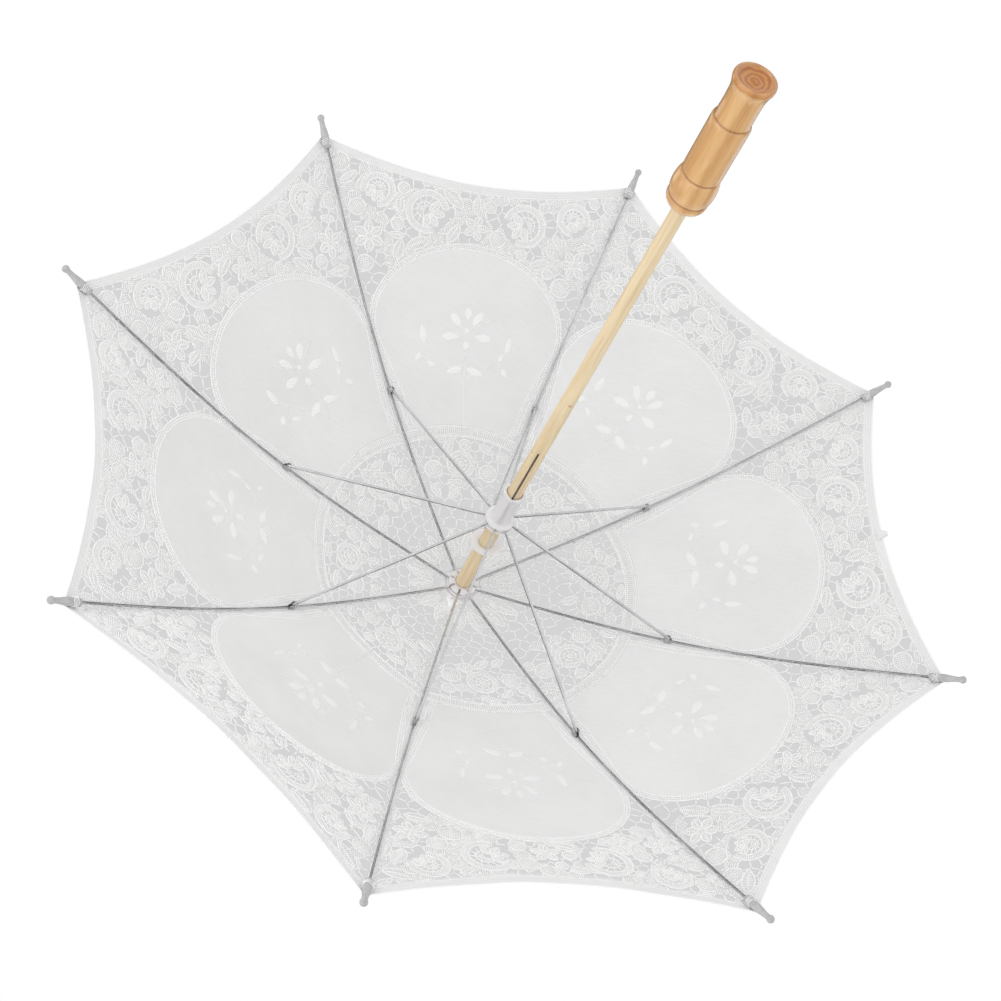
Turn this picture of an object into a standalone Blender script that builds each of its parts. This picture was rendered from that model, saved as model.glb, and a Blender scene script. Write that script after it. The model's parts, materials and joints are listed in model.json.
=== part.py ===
"""Lace parasol, open: wooden shaft and turned handle, eight curved steel ribs on a plastic top notch, eight
stretchers on a sliding runner, a spring catch in the shaft, and a canopy made of one sector for each rib.

Metres, +Z up along the shaft. The origin is on the shaft's axis at the middle of the handle's grip.
Rib 1 lies over +X, and the ribs follow each other every 45 degrees, anticlockwise from above.
"""

import math

import bmesh
import bpy
from mathutils import Matrix, Vector

MM = 0.001

# Driving dimensions
RIB_COUNT = 8
NOTCH_Z = 558 * MM  # the rib pivots' height over the grip's middle
PIVOT_RADIUS = 10.2 * MM  # rib and stretcher pivots, from the shaft's axis
RIB_LENGTH = 427.5 * MM  # pivot to tip ball's centre, along the rib
RIB_END = 412 * MM  # where the steel ends, inside the tip cap
JOINT_AT = 176.5 * MM  # the stretcher's joint, along the rib
RIB_START_SLOPE = math.radians(13.3)  # below the horizontal
RIB_PEAK_CURVATURE = 1.485  # per metre, at the joint; it fades to none at both ends
JOINT_DROP = 4.2 * MM  # the joint's rivet, below the rib's centre line

SHAFT_TOP_RADIUS = 6.7 * MM
SHAFT_LOW_RADIUS = 5.6 * MM
SHAFT_TOP = 17 * MM  # over the notch
HANDLE_TOP = -499 * MM  # these heights are counted from the notch
HANDLE_END = -617 * MM
SHAFT_IN_HANDLE = 20 * MM
WASHER_Z = -68 * MM
RUNNER_LENGTH_BELOW = 41 * MM

CATCH_AZIMUTH = math.radians(270)
CATCH_PIVOT_Z = -204.5 * MM
CATCH_PIVOT_RADIUS = 3.9 * MM
CATCH_WIRE_RADIUS = 0.5 * MM
CATCH_PIN_RADIUS = 0.5 * MM
CATCH_PIN_LENGTH = 9.0 * MM
CATCH_PIN_SIDES = 12
SLOT_WIDTH = 1.7 * MM

RING_WIRE_RADIUS = 0.45 * MM
GAP = 0.3 * MM
CANOPY_THICKNESS = 0.9 * MM
CANOPY_LIFT = 2.7 * MM  # the canopy's inner face, over the rib's centre line
CANOPY_LIFT_AT_TIP = 4.3 * MM
HEM_AT_RIB = 413.5 * MM  # along the rib
HEM_AT_MIDDLE = 389 * MM  # the same measure, midway between two ribs
CANOPY_START = 3.4 * MM

WOOD_PALE = (0.80, 0.61, 0.36, 1)
WOOD_VARNISHED = (0.72, 0.45, 0.20, 1)
PLASTIC_WHITE = (0.85, 0.83, 0.80, 1)
PLASTIC_GREY = (0.72, 0.72, 0.73, 1)
STEEL = (0.62, 0.62, 0.63, 1)
COTTON = (0.90, 0.90, 0.89, 1)


# Scene and materials
for leftover in list(bpy.data.objects):
    bpy.data.objects.remove(leftover)
parts = bpy.data.collections.new("lace_parasol")
cutters = bpy.data.collections.new("cutters")
for collection in (parts, cutters):
    bpy.context.scene.collection.children.link(collection)


def material(name, colour, roughness, metallic=0.0):
    made = bpy.data.materials.new(name)
    made.use_nodes = True
    shader = made.node_tree.nodes["Principled BSDF"]
    shader.inputs["Base Color"].default_value = colour
    shader.inputs["Roughness"].default_value = roughness
    shader.inputs["Metallic"].default_value = metallic
    return made


shaft_wood = material("shaft_wood", WOOD_PALE, 0.45)
handle_wood = material("handle_wood", WOOD_VARNISHED, 0.25)
white_plastic = material("white_plastic", PLASTIC_WHITE, 0.35)
grey_plastic = material("grey_plastic", PLASTIC_GREY, 0.4)
steel = material("plated_steel", STEEL, 0.3, 1.0)
cotton = material("cotton_lace", COTTON, 0.9)


# Building tools
def add(name, mesh, look, matrix=None):
    """A part: one object with one material, placed by a matrix."""
    part = bpy.data.objects.new(name, mesh)
    if look.name not in mesh.materials:
        mesh.materials.clear()
        mesh.materials.append(look)
    if matrix is not None:
        part.matrix_world = matrix
    parts.objects.link(part)
    return part


def line_mesh(name, points, closed):
    mesh = bpy.data.meshes.new(name)
    edges = [(i, i + 1) for i in range(len(points) - 1)]
    if closed:
        edges.append((len(points) - 1, 0))
    mesh.from_pydata([(x, 0, z) for x, z in points], edges, [])
    return mesh


def turned(name, profile, look, steps, closed=False, matrix=None):
    """A turned piece: (radius, height) points that run down the outer side."""
    part = add(name, line_mesh(name, profile, closed), look, matrix)
    screw = part.modifiers.new("turn", "SCREW")
    screw.axis = "Z"
    screw.steps = screw.render_steps = steps
    screw.use_merge_vertices = True
    screw.merge_threshold = 0.00001
    screw.use_smooth_shade = True
    return part


def arc(cx, cz, radius, start, end, count):
    """Points of a round stretch of a profile, angles in degrees from +X."""
    turn = [math.radians(start + (end - start) * i / count) for i in range(count + 1)]
    return [(cx + radius * math.cos(a), cz + radius * math.sin(a)) for a in turn]


def box(name, low, high):
    mesh = bpy.data.meshes.new(name)
    shape = bmesh.new()
    bmesh.ops.create_cube(shape, size=1)
    size = Vector(high) - Vector(low)
    middle = (Vector(high) + Vector(low)) / 2
    stretch = Matrix.Diagonal((*size, 1))
    bmesh.ops.transform(shape, matrix=Matrix.Translation(middle) @ stretch, verts=shape.verts)
    shape.to_mesh(mesh)
    shape.free()
    return mesh


def rod(name, radius, length, sides):
    """A cylinder along Y, centred."""
    mesh = bpy.data.meshes.new(name)
    shape = bmesh.new()
    bmesh.ops.create_cone(shape, cap_ends=True, segments=sides, radius1=radius, radius2=radius, depth=length)
    bmesh.ops.rotate(shape, matrix=Matrix.Rotation(math.pi / 2, 3, "X"), verts=shape.verts)
    shape.to_mesh(mesh)
    shape.free()
    return mesh


def cut(part, name, mesh, matrix=None):
    """Takes a cutter's shape out of a part."""
    cutter = bpy.data.objects.new(name, mesh)
    if matrix is not None:
        cutter.matrix_world = matrix
    cutter.hide_render = True
    cutter.display_type = "WIRE"
    cutters.objects.link(cutter)
    boolean = part.modifiers.new(name, "BOOLEAN")
    boolean.operation = "DIFFERENCE"
    boolean.solver = "EXACT"
    boolean.object = cutter


def loft(name, rings):
    """A closed body through rings of the same number of points, with flat ends."""
    mesh = bpy.data.meshes.new(name)
    shape = bmesh.new()
    rows = [[shape.verts.new(p) for p in ring] for ring in rings]
    for near, far in zip(rows, rows[1:]):
        for i in range(len(near)):
            j = (i + 1) % len(near)
            shape.faces.new((near[i], far[i], far[j], near[j]))
    shape.faces.new(rows[0])
    shape.faces.new(reversed(rows[-1]))
    bmesh.ops.recalc_face_normals(shape, faces=shape.faces)
    shape.to_mesh(mesh)
    shape.free()
    return mesh


def settled(part):
    """The part's mesh with its modifiers applied; the part is removed."""
    bpy.context.view_layer.update()
    evaluated = part.evaluated_get(bpy.context.evaluated_depsgraph_get())
    mesh = bpy.data.meshes.new_from_object(evaluated)
    bpy.data.objects.remove(part)
    return mesh


def around(azimuth, radius, height, pitch=0.0):
    """A place in a rib's plane: local +X is outward, turned down by pitch."""
    turn = Matrix.Rotation(azimuth, 4, "Z")
    return turn @ Matrix.Translation((radius, 0, height)) @ Matrix.Rotation(pitch, 4, "Y")


def azimuth_of(k):
    return 2 * math.pi * k / RIB_COUNT


# The rib's curve, in its own plane: x outward and z up from the rib's pivot
def rib_slope(s):
    """Slope below the horizontal, at a distance s along the rib."""
    if s < JOINT_AT:
        return RIB_START_SLOPE + RIB_PEAK_CURVATURE * s * s / (2 * JOINT_AT)
    u = s - JOINT_AT
    outer = RIB_LENGTH - JOINT_AT
    return RIB_START_SLOPE + RIB_PEAK_CURVATURE * (JOINT_AT / 2 + u - u * u / (2 * outer))


def rib_point(s, lift=0.0):
    """A point at s along the rib, lifted outward from its centre line."""
    steps = 64
    x = z = 0.0
    for i in range(steps):
        slope = rib_slope(s * (i + 0.5) / steps)
        x += math.cos(slope) * s / steps
        z -= math.sin(slope) * s / steps
    return x + lift * math.sin(rib_slope(s)), z + lift * math.cos(rib_slope(s))


joint_x, joint_z = rib_point(JOINT_AT, -JOINT_DROP)
LINK = math.hypot(joint_x, joint_z)  # rib pivot to joint, and joint to runner pivot
LINK_SLOPE = math.atan2(-joint_z, joint_x)
RUNNER_Z = NOTCH_Z - 2 * LINK * math.sin(LINK_SLOPE)


def channel(half_width, half_height, gap, depth):
    """Section of a channel open downward, as (across, up) points."""
    low = -half_height
    return [
        (-half_width, low), (-half_width, half_height), (half_width, half_height), (half_width, low),
        (gap, low), (gap, low + depth), (-gap, low + depth), (-gap, low),
    ]  # fmt: skip


TONGUE = channel(0.65 * MM, 1.15 * MM, 0.1 * MM, 0.1 * MM)
RIB_SECTION = channel(0.9 * MM, 0.85 * MM, 0.5 * MM, 1.35 * MM)
STRETCHER_SECTION = channel(1.0 * MM, 0.9 * MM, 0.55 * MM, 1.4 * MM)
STRETCHER_EYE = channel(0.9 * MM, 1.3 * MM, 0.5 * MM, 2.2 * MM)
TONGUE_BACK = -1.0 * MM
TONGUE_END = 6.8 * MM
CHANNEL_START = 9.5 * MM
PIN_HOLE_RADIUS = RING_WIRE_RADIUS + GAP
RIVET_RADIUS = 0.5 * MM
RIVET_HOLE_RADIUS = RIVET_RADIUS + GAP
HOLE_SIDES = 8


# Ribs
def rib_mesh():
    rings = []
    channel_stations = 9
    stations = [(TONGUE_BACK, TONGUE), (TONGUE_END, TONGUE)]
    for i in range(channel_stations + 1):
        stations.append((CHANNEL_START + (RIB_END - CHANNEL_START) * i / channel_stations, RIB_SECTION))
    for s, section in stations:
        x, z = rib_point(max(s, 0.0))
        slope = rib_slope(max(s, 0.0))
        x += min(s, 0.0) * math.cos(slope)
        z -= min(s, 0.0) * math.sin(slope)
        lean, rise = math.sin(slope), math.cos(slope)
        rings.append([(x + up * lean, across, z + up * rise) for across, up in section])
    rib = add("rib_blank", loft("rib_blank", rings), steel)
    cut(rib, "rib_pivot_hole", rod("rib_pivot_hole", PIN_HOLE_RADIUS, 4 * MM, HOLE_SIDES))
    return settled(rib)


rib_shared = rib_mesh()
for k in range(RIB_COUNT):
    add(f"rib_{k + 1}", rib_shared, steel, around(azimuth_of(k), PIVOT_RADIUS, NOTCH_Z))


# Stretchers, straight; drawn from the joint's rivet, local +X towards the runner, open side up
def stretcher_mesh():
    flip = [(TONGUE_BACK, TONGUE), (TONGUE_END, TONGUE), (CHANNEL_START, STRETCHER_SECTION)]
    stations = [(LINK - d, section) for d, section in reversed(flip)]
    stations = [(-1.2 * MM, STRETCHER_EYE), (4 * MM, STRETCHER_EYE), (8 * MM, STRETCHER_SECTION)] + stations
    rings = [[(d, -across, -up) for across, up in section] for d, section in stations]
    stretcher = add("stretcher_blank", loft("stretcher_blank", rings), steel)
    cut(stretcher, "stretcher_rivet_hole", rod("stretcher_rivet_hole", RIVET_HOLE_RADIUS, 5 * MM, HOLE_SIDES))
    inner = Matrix.Translation((LINK, 0, 0))
    pivot_hole = rod("stretcher_pivot_hole", PIN_HOLE_RADIUS, 4 * MM, HOLE_SIDES)
    cut(stretcher, "stretcher_pivot_hole", pivot_hole, inner)
    return settled(stretcher)


stretcher_shared = stretcher_mesh()
for k in range(RIB_COUNT):
    inward = Matrix.Rotation(math.pi - LINK_SLOPE, 4, "Y") @ Matrix.Rotation(math.pi, 4, "X")
    joint = around(azimuth_of(k), PIVOT_RADIUS + joint_x, NOTCH_Z + joint_z)
    add(f"stretcher_{k + 1}", stretcher_shared, steel, joint @ inward)


# Joint clips, bent over the rib, and their rivets
CLIP_HALF_LENGTH = 3.5 * MM
CLIP_INNER = 1.2 * MM
CLIP_WALL = 0.5 * MM
CLIP_ROOF = 0.4 * MM
CLIP_TOP = 1.55 * MM
CLIP_EAR_END = -1.7 * MM
CLIP_EAR_ROOT = 1.4 * MM
CLIP_EAR_HALF_WIDTH = 2.3 * MM


def clip_mesh():
    """Origin at the rivet, +X along the rib."""
    outer = CLIP_INNER + CLIP_WALL
    top = JOINT_DROP + CLIP_TOP
    blank = box("clip_blank", (-CLIP_HALF_LENGTH, -outer, CLIP_EAR_END), (CLIP_HALF_LENGTH, outer, top))
    clip = add("clip_blank", blank, steel)
    bevel = clip.modifiers.new("worn_corners", "BEVEL")
    bevel.width = 0.4 * MM
    bevel.segments = 1
    past = 2 * CLIP_HALF_LENGTH  # the cutters reach past the clip
    room = box("clip_room", (-past, -CLIP_INNER, -past), (past, CLIP_INNER, top - CLIP_ROOF))
    cut(clip, "clip_room", room)
    cut(clip, "clip_rivet_hole", rod("clip_rivet_hole", RIVET_HOLE_RADIUS, past, HOLE_SIDES))
    for side in (-1, 1):
        low, high = sorted((side * CLIP_EAR_HALF_WIDTH, side * past))
        relief = box("clip_relief", (low, -past, -past), (high, past, CLIP_EAR_ROOT))
        cut(clip, f"clip_relief_{side + 2}", relief)
    return settled(clip)


def rivet_mesh():
    head = CLIP_INNER + CLIP_WALL + GAP
    tip = head + 0.6 * MM
    half = [(0, tip), (0.9 * MM, tip), (1.3 * MM, head + 0.2 * MM), (1.3 * MM, head), (RIVET_RADIUS, head)]
    profile = half + [(x, -z) for x, z in reversed(half)]
    return settled(turned("rivet_blank", profile, steel, 8))


clip_shared = clip_mesh()
rivet_shared = rivet_mesh()
for k in range(RIB_COUNT):
    joint = around(azimuth_of(k), PIVOT_RADIUS + joint_x, NOTCH_Z + joint_z, rib_slope(JOINT_AT))
    add(f"rib_clip_{k + 1}", clip_shared, steel, joint)
    add(f"rivet_{k + 1}", rivet_shared, steel, joint @ Matrix.Rotation(math.pi / 2, 4, "X"))


# Tip caps: a ball, a neck and a cup over the rib's end
TIP_BORE = 1.65 * MM
TIP_FLOOR = -14.9 * MM


def tip_mesh():
    """Along +Z outward, with its origin at the ball's centre."""
    ball = 3.1 * MM
    mouth = -27.5 * MM
    profile = arc(0, 0, ball, 90, -40, 5)
    profile += [(2.2 * MM, -3.6 * MM), (2.5 * MM, -8 * MM), (3.3 * MM, -14 * MM), (3.4 * MM, mouth)]
    profile += [(TIP_BORE, mouth), (TIP_BORE, TIP_FLOOR), (0, TIP_FLOOR)]
    profile[0] = (0, ball)
    return settled(turned("tip_blank", profile, grey_plastic, 10))


tip_shared = tip_mesh()
TIP_REACH = 15 * MM  # the cap runs straight on from the rib over this length
seat_at = RIB_LENGTH - TIP_REACH
tip_pitch = rib_slope(seat_at)
seat_x, seat_z = rib_point(seat_at)
for k in range(RIB_COUNT):
    x = PIVOT_RADIUS + seat_x + TIP_REACH * math.cos(tip_pitch)
    z = NOTCH_Z + seat_z - TIP_REACH * math.sin(tip_pitch)
    add(f"rib_tip_{k + 1}", tip_shared, grey_plastic, around(azimuth_of(k), x, z, tip_pitch + math.pi / 2))


# Top notch and runner: slotted crowns with a wire ring through the pivots
CROWN_RADIUS = 12.6 * MM
SLOT_FLOOR = 8.35 * MM
CROWN_SLOT_WIDTH = 1.9 * MM
GROOVE_FLOOR = 9.3 * MM
GROOVE_HALF = 0.9 * MM
TONGUE_CLEAR = 1.7 * MM
OPEN_SIDE = 4.2 * MM
BACK_SIDE = 3.5 * MM


def crown_rim(up):
    """Outer side of a crown, top to bottom: up is 1 where its slots open downward."""
    top, low = (BACK_SIDE, OPEN_SIDE) if up > 0 else (OPEN_SIDE, BACK_SIDE)
    chamfer = 0.6 * MM
    return [
        (CROWN_RADIUS - chamfer, top), (CROWN_RADIUS, top - chamfer), (CROWN_RADIUS, GROOVE_HALF),
        (GROOVE_FLOOR, GROOVE_HALF), (GROOVE_FLOOR, -GROOVE_HALF), (CROWN_RADIUS, -GROOVE_HALF),
        (CROWN_RADIUS, chamfer - low), (CROWN_RADIUS - chamfer, -low),
    ]  # fmt: skip


def cut_slots(part, height, up):
    low, high = sorted((up * TONGUE_CLEAR, -up * 8 * MM))
    half = CROWN_SLOT_WIDTH / 2
    for k in range(RIB_COUNT):
        slot = box(f"{part.name}_slot_{k + 1}", (SLOT_FLOOR, -half, low), (20 * MM, half, high))
        cut(part, f"{part.name}_slot_{k + 1}", slot, around(azimuth_of(k), 0, height))


bore = SHAFT_TOP_RADIUS + GAP
notch_profile = [(bore, BACK_SIDE)] + crown_rim(1) + [(bore, -OPEN_SIDE)]
notch = turned("top_notch", notch_profile, white_plastic, 24, True, Matrix.Translation((0, 0, NOTCH_Z)))
cut_slots(notch, NOTCH_Z, 1)

SLEEVE_RADIUS = 8.5 * MM
runner_bore = SHAFT_TOP_RADIUS + 0.4 * MM
runner_end = -RUNNER_LENGTH_BELOW
runner_profile = [(runner_bore, OPEN_SIDE)] + crown_rim(-1)
runner_profile += [
    (SLEEVE_RADIUS + 1.2 * MM, -BACK_SIDE - 0.8 * MM), (SLEEVE_RADIUS, -BACK_SIDE - 2.4 * MM),
    (SLEEVE_RADIUS, runner_end + 3.4 * MM), (SLEEVE_RADIUS + 0.7 * MM, runner_end + 2.6 * MM),
    (SLEEVE_RADIUS + 0.7 * MM, runner_end + 0.5 * MM), (SLEEVE_RADIUS + 0.2 * MM, runner_end),
    (runner_bore, runner_end),
]  # fmt: skip
runner = turned("runner", runner_profile, white_plastic, 24, True, Matrix.Translation((0, 0, RUNNER_Z)))
cut_slots(runner, RUNNER_Z, -1)
keyway = box("runner_keyway", (4 * MM, -0.95 * MM, -60 * MM), (8.3 * MM, 0.95 * MM, 20 * MM))
cut(runner, "runner_keyway", keyway, around(CATCH_AZIMUTH, 0, RUNNER_Z))

for name, height in (("notch_wire", NOTCH_Z), ("runner_wire", RUNNER_Z)):
    ring = arc(PIVOT_RADIUS, 0, RING_WIRE_RADIUS, 180, -180, 6)[:-1]
    turned(name, ring, steel, 24, True, Matrix.Translation((0, 0, height)))


# Shaft, with the catch's slot and its pin's hole
shaft_low = HANDLE_TOP - SHAFT_IN_HANDLE
taper = (SHAFT_TOP_RADIUS - SHAFT_LOW_RADIUS) / (SHAFT_TOP - HANDLE_TOP)


def shaft_radius(height):
    return min(SHAFT_TOP_RADIUS, SHAFT_TOP_RADIUS + taper * height)


shaft_edge = 0.5 * MM
shaft_profile = [(0, SHAFT_TOP), (SHAFT_TOP_RADIUS - shaft_edge, SHAFT_TOP)]
shaft_profile += [(SHAFT_TOP_RADIUS, SHAFT_TOP - shaft_edge), (SHAFT_TOP_RADIUS, 0)]
shaft_profile += [(shaft_radius(HANDLE_TOP), HANDLE_TOP)]
shaft_profile += [(shaft_radius(HANDLE_TOP), shaft_low), (0, shaft_low)]
shaft = turned("shaft", shaft_profile, shaft_wood, 24, False, Matrix.Translation((0, 0, NOTCH_Z)))
slot_low = (1.2 * MM, -SLOT_WIDTH / 2, -208 * MM)
slot_high = (10 * MM, SLOT_WIDTH / 2, -134 * MM)
cut(shaft, "catch_slot", box("catch_slot", slot_low, slot_high), around(CATCH_AZIMUTH, 0, NOTCH_Z))
pin_place = around(CATCH_AZIMUTH, CATCH_PIVOT_RADIUS, NOTCH_Z + CATCH_PIVOT_Z)
pin_hole = rod("catch_pin_hole", CATCH_PIN_RADIUS + GAP, 20 * MM, CATCH_PIN_SIDES)
cut(shaft, "catch_pin_hole", pin_hole, pin_place)
add("catch_pin", rod("catch_pin", CATCH_PIN_RADIUS, CATCH_PIN_LENGTH, CATCH_PIN_SIDES), steel, pin_place)


# Spring catch: a hook round the pin, a long leg up the slot, a shoulder outside and a tail
def catch_route():
    """(outward, up) points from the pin."""
    hook = 1.35 * MM
    start, end, count = -200, 20, 12
    route = arc(0, 0, hook, start, end, count)
    leg_top = (2.3 * MM, 50 * MM)
    shoulder = [(3.2 * MM, 54.6 * MM), (3.6 * MM, 56.2 * MM), (3.3 * MM, 57.2 * MM), (2.2 * MM, 57.9 * MM)]
    tail = [(0.9 * MM, 59.0 * MM), (0.4 * MM, 61.0 * MM), (0.2 * MM, 66 * MM)]
    return route + [(hook + 0.05 * MM, 4 * MM), leg_top] + shoulder + tail


def wire(name, points, radius, look, matrix):
    curve = bpy.data.curves.new(name, "CURVE")
    curve.dimensions = "3D"
    curve.bevel_depth = radius
    curve.bevel_resolution = 2
    curve.use_fill_caps = True
    spline = curve.splines.new("POLY")
    spline.points.add(len(points) - 1)
    for point, (x, z) in zip(spline.points, points):
        point.co = (x, 0, z, 1)
    blank = bpy.data.objects.new(name + "_blank", curve)
    parts.objects.link(blank)
    mesh = settled(blank)
    shape = bmesh.new()
    shape.from_mesh(mesh)
    bmesh.ops.remove_doubles(shape, verts=shape.verts, dist=0.00001)
    bmesh.ops.recalc_face_normals(shape, faces=shape.faces)
    shape.to_mesh(mesh)
    shape.free()
    return add(name, mesh, look, matrix)


wire("catch_spring", catch_route(), CATCH_WIRE_RADIUS, steel, pin_place)


# Washer on the shaft, top cap over the canopy's centre, and ferrule
washer_bore = SHAFT_TOP_RADIUS + 0.1 * MM
washer = [
    (washer_bore, 0.6 * MM), (13.1 * MM, 0.6 * MM), (13.5 * MM, 0.2 * MM), (13.5 * MM, -0.2 * MM),
    (13.1 * MM, -0.6 * MM), (washer_bore, -0.6 * MM),
]  # fmt: skip
turned("shaft_washer", washer, white_plastic, 24, True, Matrix.Translation((0, 0, NOTCH_Z + WASHER_Z)))

cap = [(bore, 7.3 * MM), (9.5 * MM, 7.3 * MM), (13 * MM, 6.4 * MM), (15.2 * MM, 5.2 * MM)]
cap += [(15.5 * MM, 4.6 * MM), (15.2 * MM, 4.4 * MM), (bore, 4.4 * MM)]
turned("top_cap", cap, white_plastic, 24, True, Matrix.Translation((0, 0, NOTCH_Z)))

ferrule_base = 7.6 * MM
ferrule = [(0, 17.4 * MM), (bore, 17.4 * MM), (bore, ferrule_base)]
ferrule_outer = arc(8.6 * MM, 9.4 * MM, 1.8 * MM, -90, 60, 5)
ferrule_outer += [(8.2 * MM, 12.2 * MM), (7.9 * MM, 16 * MM), (6.4 * MM, 26 * MM), (5.0 * MM, 34 * MM)]
ferrule_outer += [(4.2 * MM, 38.2 * MM), (5.0 * MM, 39.2 * MM), (5.3 * MM, 41.2 * MM), (4.6 * MM, 43.2 * MM)]
ferrule_outer += [(2.6 * MM, 44.2 * MM), (0, 44.4 * MM)]
ferrule = list(reversed(ferrule_outer)) + list(reversed(ferrule))
turned("ferrule", ferrule, white_plastic, 20, False, Matrix.Translation((0, 0, NOTCH_Z)))


# Handle: collar, bulb, barrel, neck and a flared knob with a dished end
handle_bore = SHAFT_LOW_RADIUS + GAP
handle = [(0, shaft_low - 0.5 * MM), (handle_bore, shaft_low - 0.5 * MM), (handle_bore, HANDLE_TOP)]
handle += [(radius * MM, HANDLE_TOP - down * MM) for radius, down in (
    (10.8, 0.0), (12.8, 0.9), (14.3, 3.0), (15.1, 5.8), (15.0, 7.8), (14.4, 8.8), (14.9, 9.8), (15.9, 13.5),
    (16.2, 18.0), (15.8, 23.0), (14.9, 27.5), (13.8, 29.6), (13.4, 30.4), (14.0, 31.6), (14.3, 33.5),
    (14.3, 78.5), (13.9, 80.3), (13.0, 81.0), (12.9, 84.0), (12.7, 98.0), (13.1, 106.0), (14.2, 110.2),
    (15.1, 113.0),
    (15.3, 115.2), (14.9, 117.2), (14.2, 118.0), (13.0, 118.0), (12.2, 117.0), (9.0, 115.2), (5.5, 114.8),
    (3.4, 115.5), (1.8, 115.2), (0, 113.6),
)]  # fmt: skip
turned("handle", handle, handle_wood, 24, False, Matrix.Translation((0, 0, NOTCH_Z)))


# Canopy: for each rib, the cloth from the middle of one gore to the middle of the next
def canopy_lift(s):
    rise = min(1.0, max(0.0, (s - 372 * MM) / (24 * MM)))
    rise = rise * rise * (3 - 2 * rise)
    return CANOPY_LIFT + (CANOPY_LIFT_AT_TIP - CANOPY_LIFT) * rise


def canopy_point(s, k, share):
    """A point at s along the ribs, on the chord from rib k to the next (share 0 to 1) or the one before."""
    x, z = rib_point(s, canopy_lift(s))
    x += PIVOT_RADIUS
    step = 2 * math.pi / RIB_COUNT * (1 if share > 0 else -1)
    here = Vector((x, 0, z + NOTCH_Z))
    there = Matrix.Rotation(step, 3, "Z") @ here
    point = here.lerp(there, abs(share))
    return Matrix.Rotation(azimuth_of(k), 3, "Z") @ point


def canopy_mesh(k):
    rows, columns = 11, 3
    mesh = bpy.data.meshes.new(f"canopy_{k + 1}")
    shape = bmesh.new()
    grid = []
    for i in range(rows + 1):
        row = []
        for j in range(-columns, columns + 1):
            share = 0.5 * j / columns
            bow = 1 - (1 - 2 * abs(share)) ** 2
            hem = HEM_AT_RIB + (HEM_AT_MIDDLE - HEM_AT_RIB) * bow
            s = CANOPY_START + (hem - CANOPY_START) * i / rows
            if abs(j) == columns:
                width = 2 * (PIVOT_RADIUS + rib_point(s)[0]) * math.sin(math.pi / RIB_COUNT)
                share *= 1 - GAP / width
            row.append(shape.verts.new(canopy_point(s, k, share)))
        grid.append(row)
    for near, far in zip(grid, grid[1:]):
        for j in range(2 * columns):
            shape.faces.new((near[j], far[j], far[j + 1], near[j + 1]))
    shape.to_mesh(mesh)
    shape.free()
    return mesh


for k in range(RIB_COUNT):
    sector = add(f"canopy_{k + 1}", canopy_mesh(k), cotton)
    solidify = sector.modifiers.new("cloth", "SOLIDIFY")
    solidify.thickness = CANOPY_THICKNESS
    solidify.offset = 1.0


ROUND_PIECES = ("handle", "ferrule", "runner", "shaft", "top_", "notch_", "rib_tip", "catch")
for part in parts.objects:
    if part.name.startswith(ROUND_PIECES):
        part.data.shade_smooth()
bpy.context.view_layer.update()
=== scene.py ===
"""Lace parasol: the looks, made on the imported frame.

Metres, +Z up along the shaft, rib 1 over +X. The cloth is first laid out flat, gore by gore: x across from
the gore's middle and s along the ribs from their pivots, both in millimetres. It is then placed on the ribs'
curve. A thread of it is (points, half width, half height).
"""

import json
import math

import bmesh
import bpy
import numpy as np
from mathutils import Matrix, Vector


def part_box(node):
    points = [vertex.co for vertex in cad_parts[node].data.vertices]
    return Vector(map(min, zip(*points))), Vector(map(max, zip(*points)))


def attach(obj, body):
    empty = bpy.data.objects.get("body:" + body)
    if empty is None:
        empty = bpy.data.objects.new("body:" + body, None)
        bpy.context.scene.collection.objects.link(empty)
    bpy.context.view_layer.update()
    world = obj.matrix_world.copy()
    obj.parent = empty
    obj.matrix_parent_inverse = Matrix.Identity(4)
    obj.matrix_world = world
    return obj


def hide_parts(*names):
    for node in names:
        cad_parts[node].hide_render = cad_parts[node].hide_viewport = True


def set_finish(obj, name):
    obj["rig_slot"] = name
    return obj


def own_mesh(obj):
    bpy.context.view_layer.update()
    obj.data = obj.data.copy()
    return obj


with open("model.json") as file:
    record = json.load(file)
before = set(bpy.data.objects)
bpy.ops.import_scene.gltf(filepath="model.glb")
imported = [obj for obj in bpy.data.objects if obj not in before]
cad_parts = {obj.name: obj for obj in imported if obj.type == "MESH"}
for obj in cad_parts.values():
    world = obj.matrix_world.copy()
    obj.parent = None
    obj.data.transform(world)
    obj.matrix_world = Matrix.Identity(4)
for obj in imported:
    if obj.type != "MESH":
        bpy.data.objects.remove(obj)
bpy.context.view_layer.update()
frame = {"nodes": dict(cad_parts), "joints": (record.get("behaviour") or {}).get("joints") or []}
joints = {joint["name"]: joint for joint in frame["joints"]}

MM = 0.001
RIB_COUNT = 8
STEP = 2 * math.pi / RIB_COUNT
PIVOT_RADIUS, _, NOTCH_Z = joints["rib_1_fold"]["pos_m"]
RUNNER_Z = joints["runner_hinge"]["pos_m"][2]
JOINT = joints["stretcher_1_hinge"]["pos_m"]

# The rib's curve, as the frame has it
RIB_LENGTH = 427.5
RIB_END = 412
JOINT_AT = 176.5
RIB_START_SLOPE = math.radians(13.3)
RIB_PEAK_CURVATURE = 1.485 * MM

# The cloth's lie over the ribs
CLOTH_LIFT = 2.5
CLOTH_LIFT_AT_TIP = 4.1
MIDDLE_SAG = 2.2
CLOTH_SHIFT = 4.0
CLOTH_SHIFT_AZIMUTH = math.radians(190)
CLOTH_START = 4.0
HEM_AT_RIB = 413.0
HEM_AT_MIDDLE = 389.0
HEM_WIDTH = 8.0
HALF_CLOTH = 0.22

# The lace's layout
MEDALLION = 131.0
MEDALLION_TAPE = 10.5
PETAL_TAPE = 5.6
PETAL_END = 326.0
WEDGE_END = 250.0  # the ladders beside the petal run out here


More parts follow.
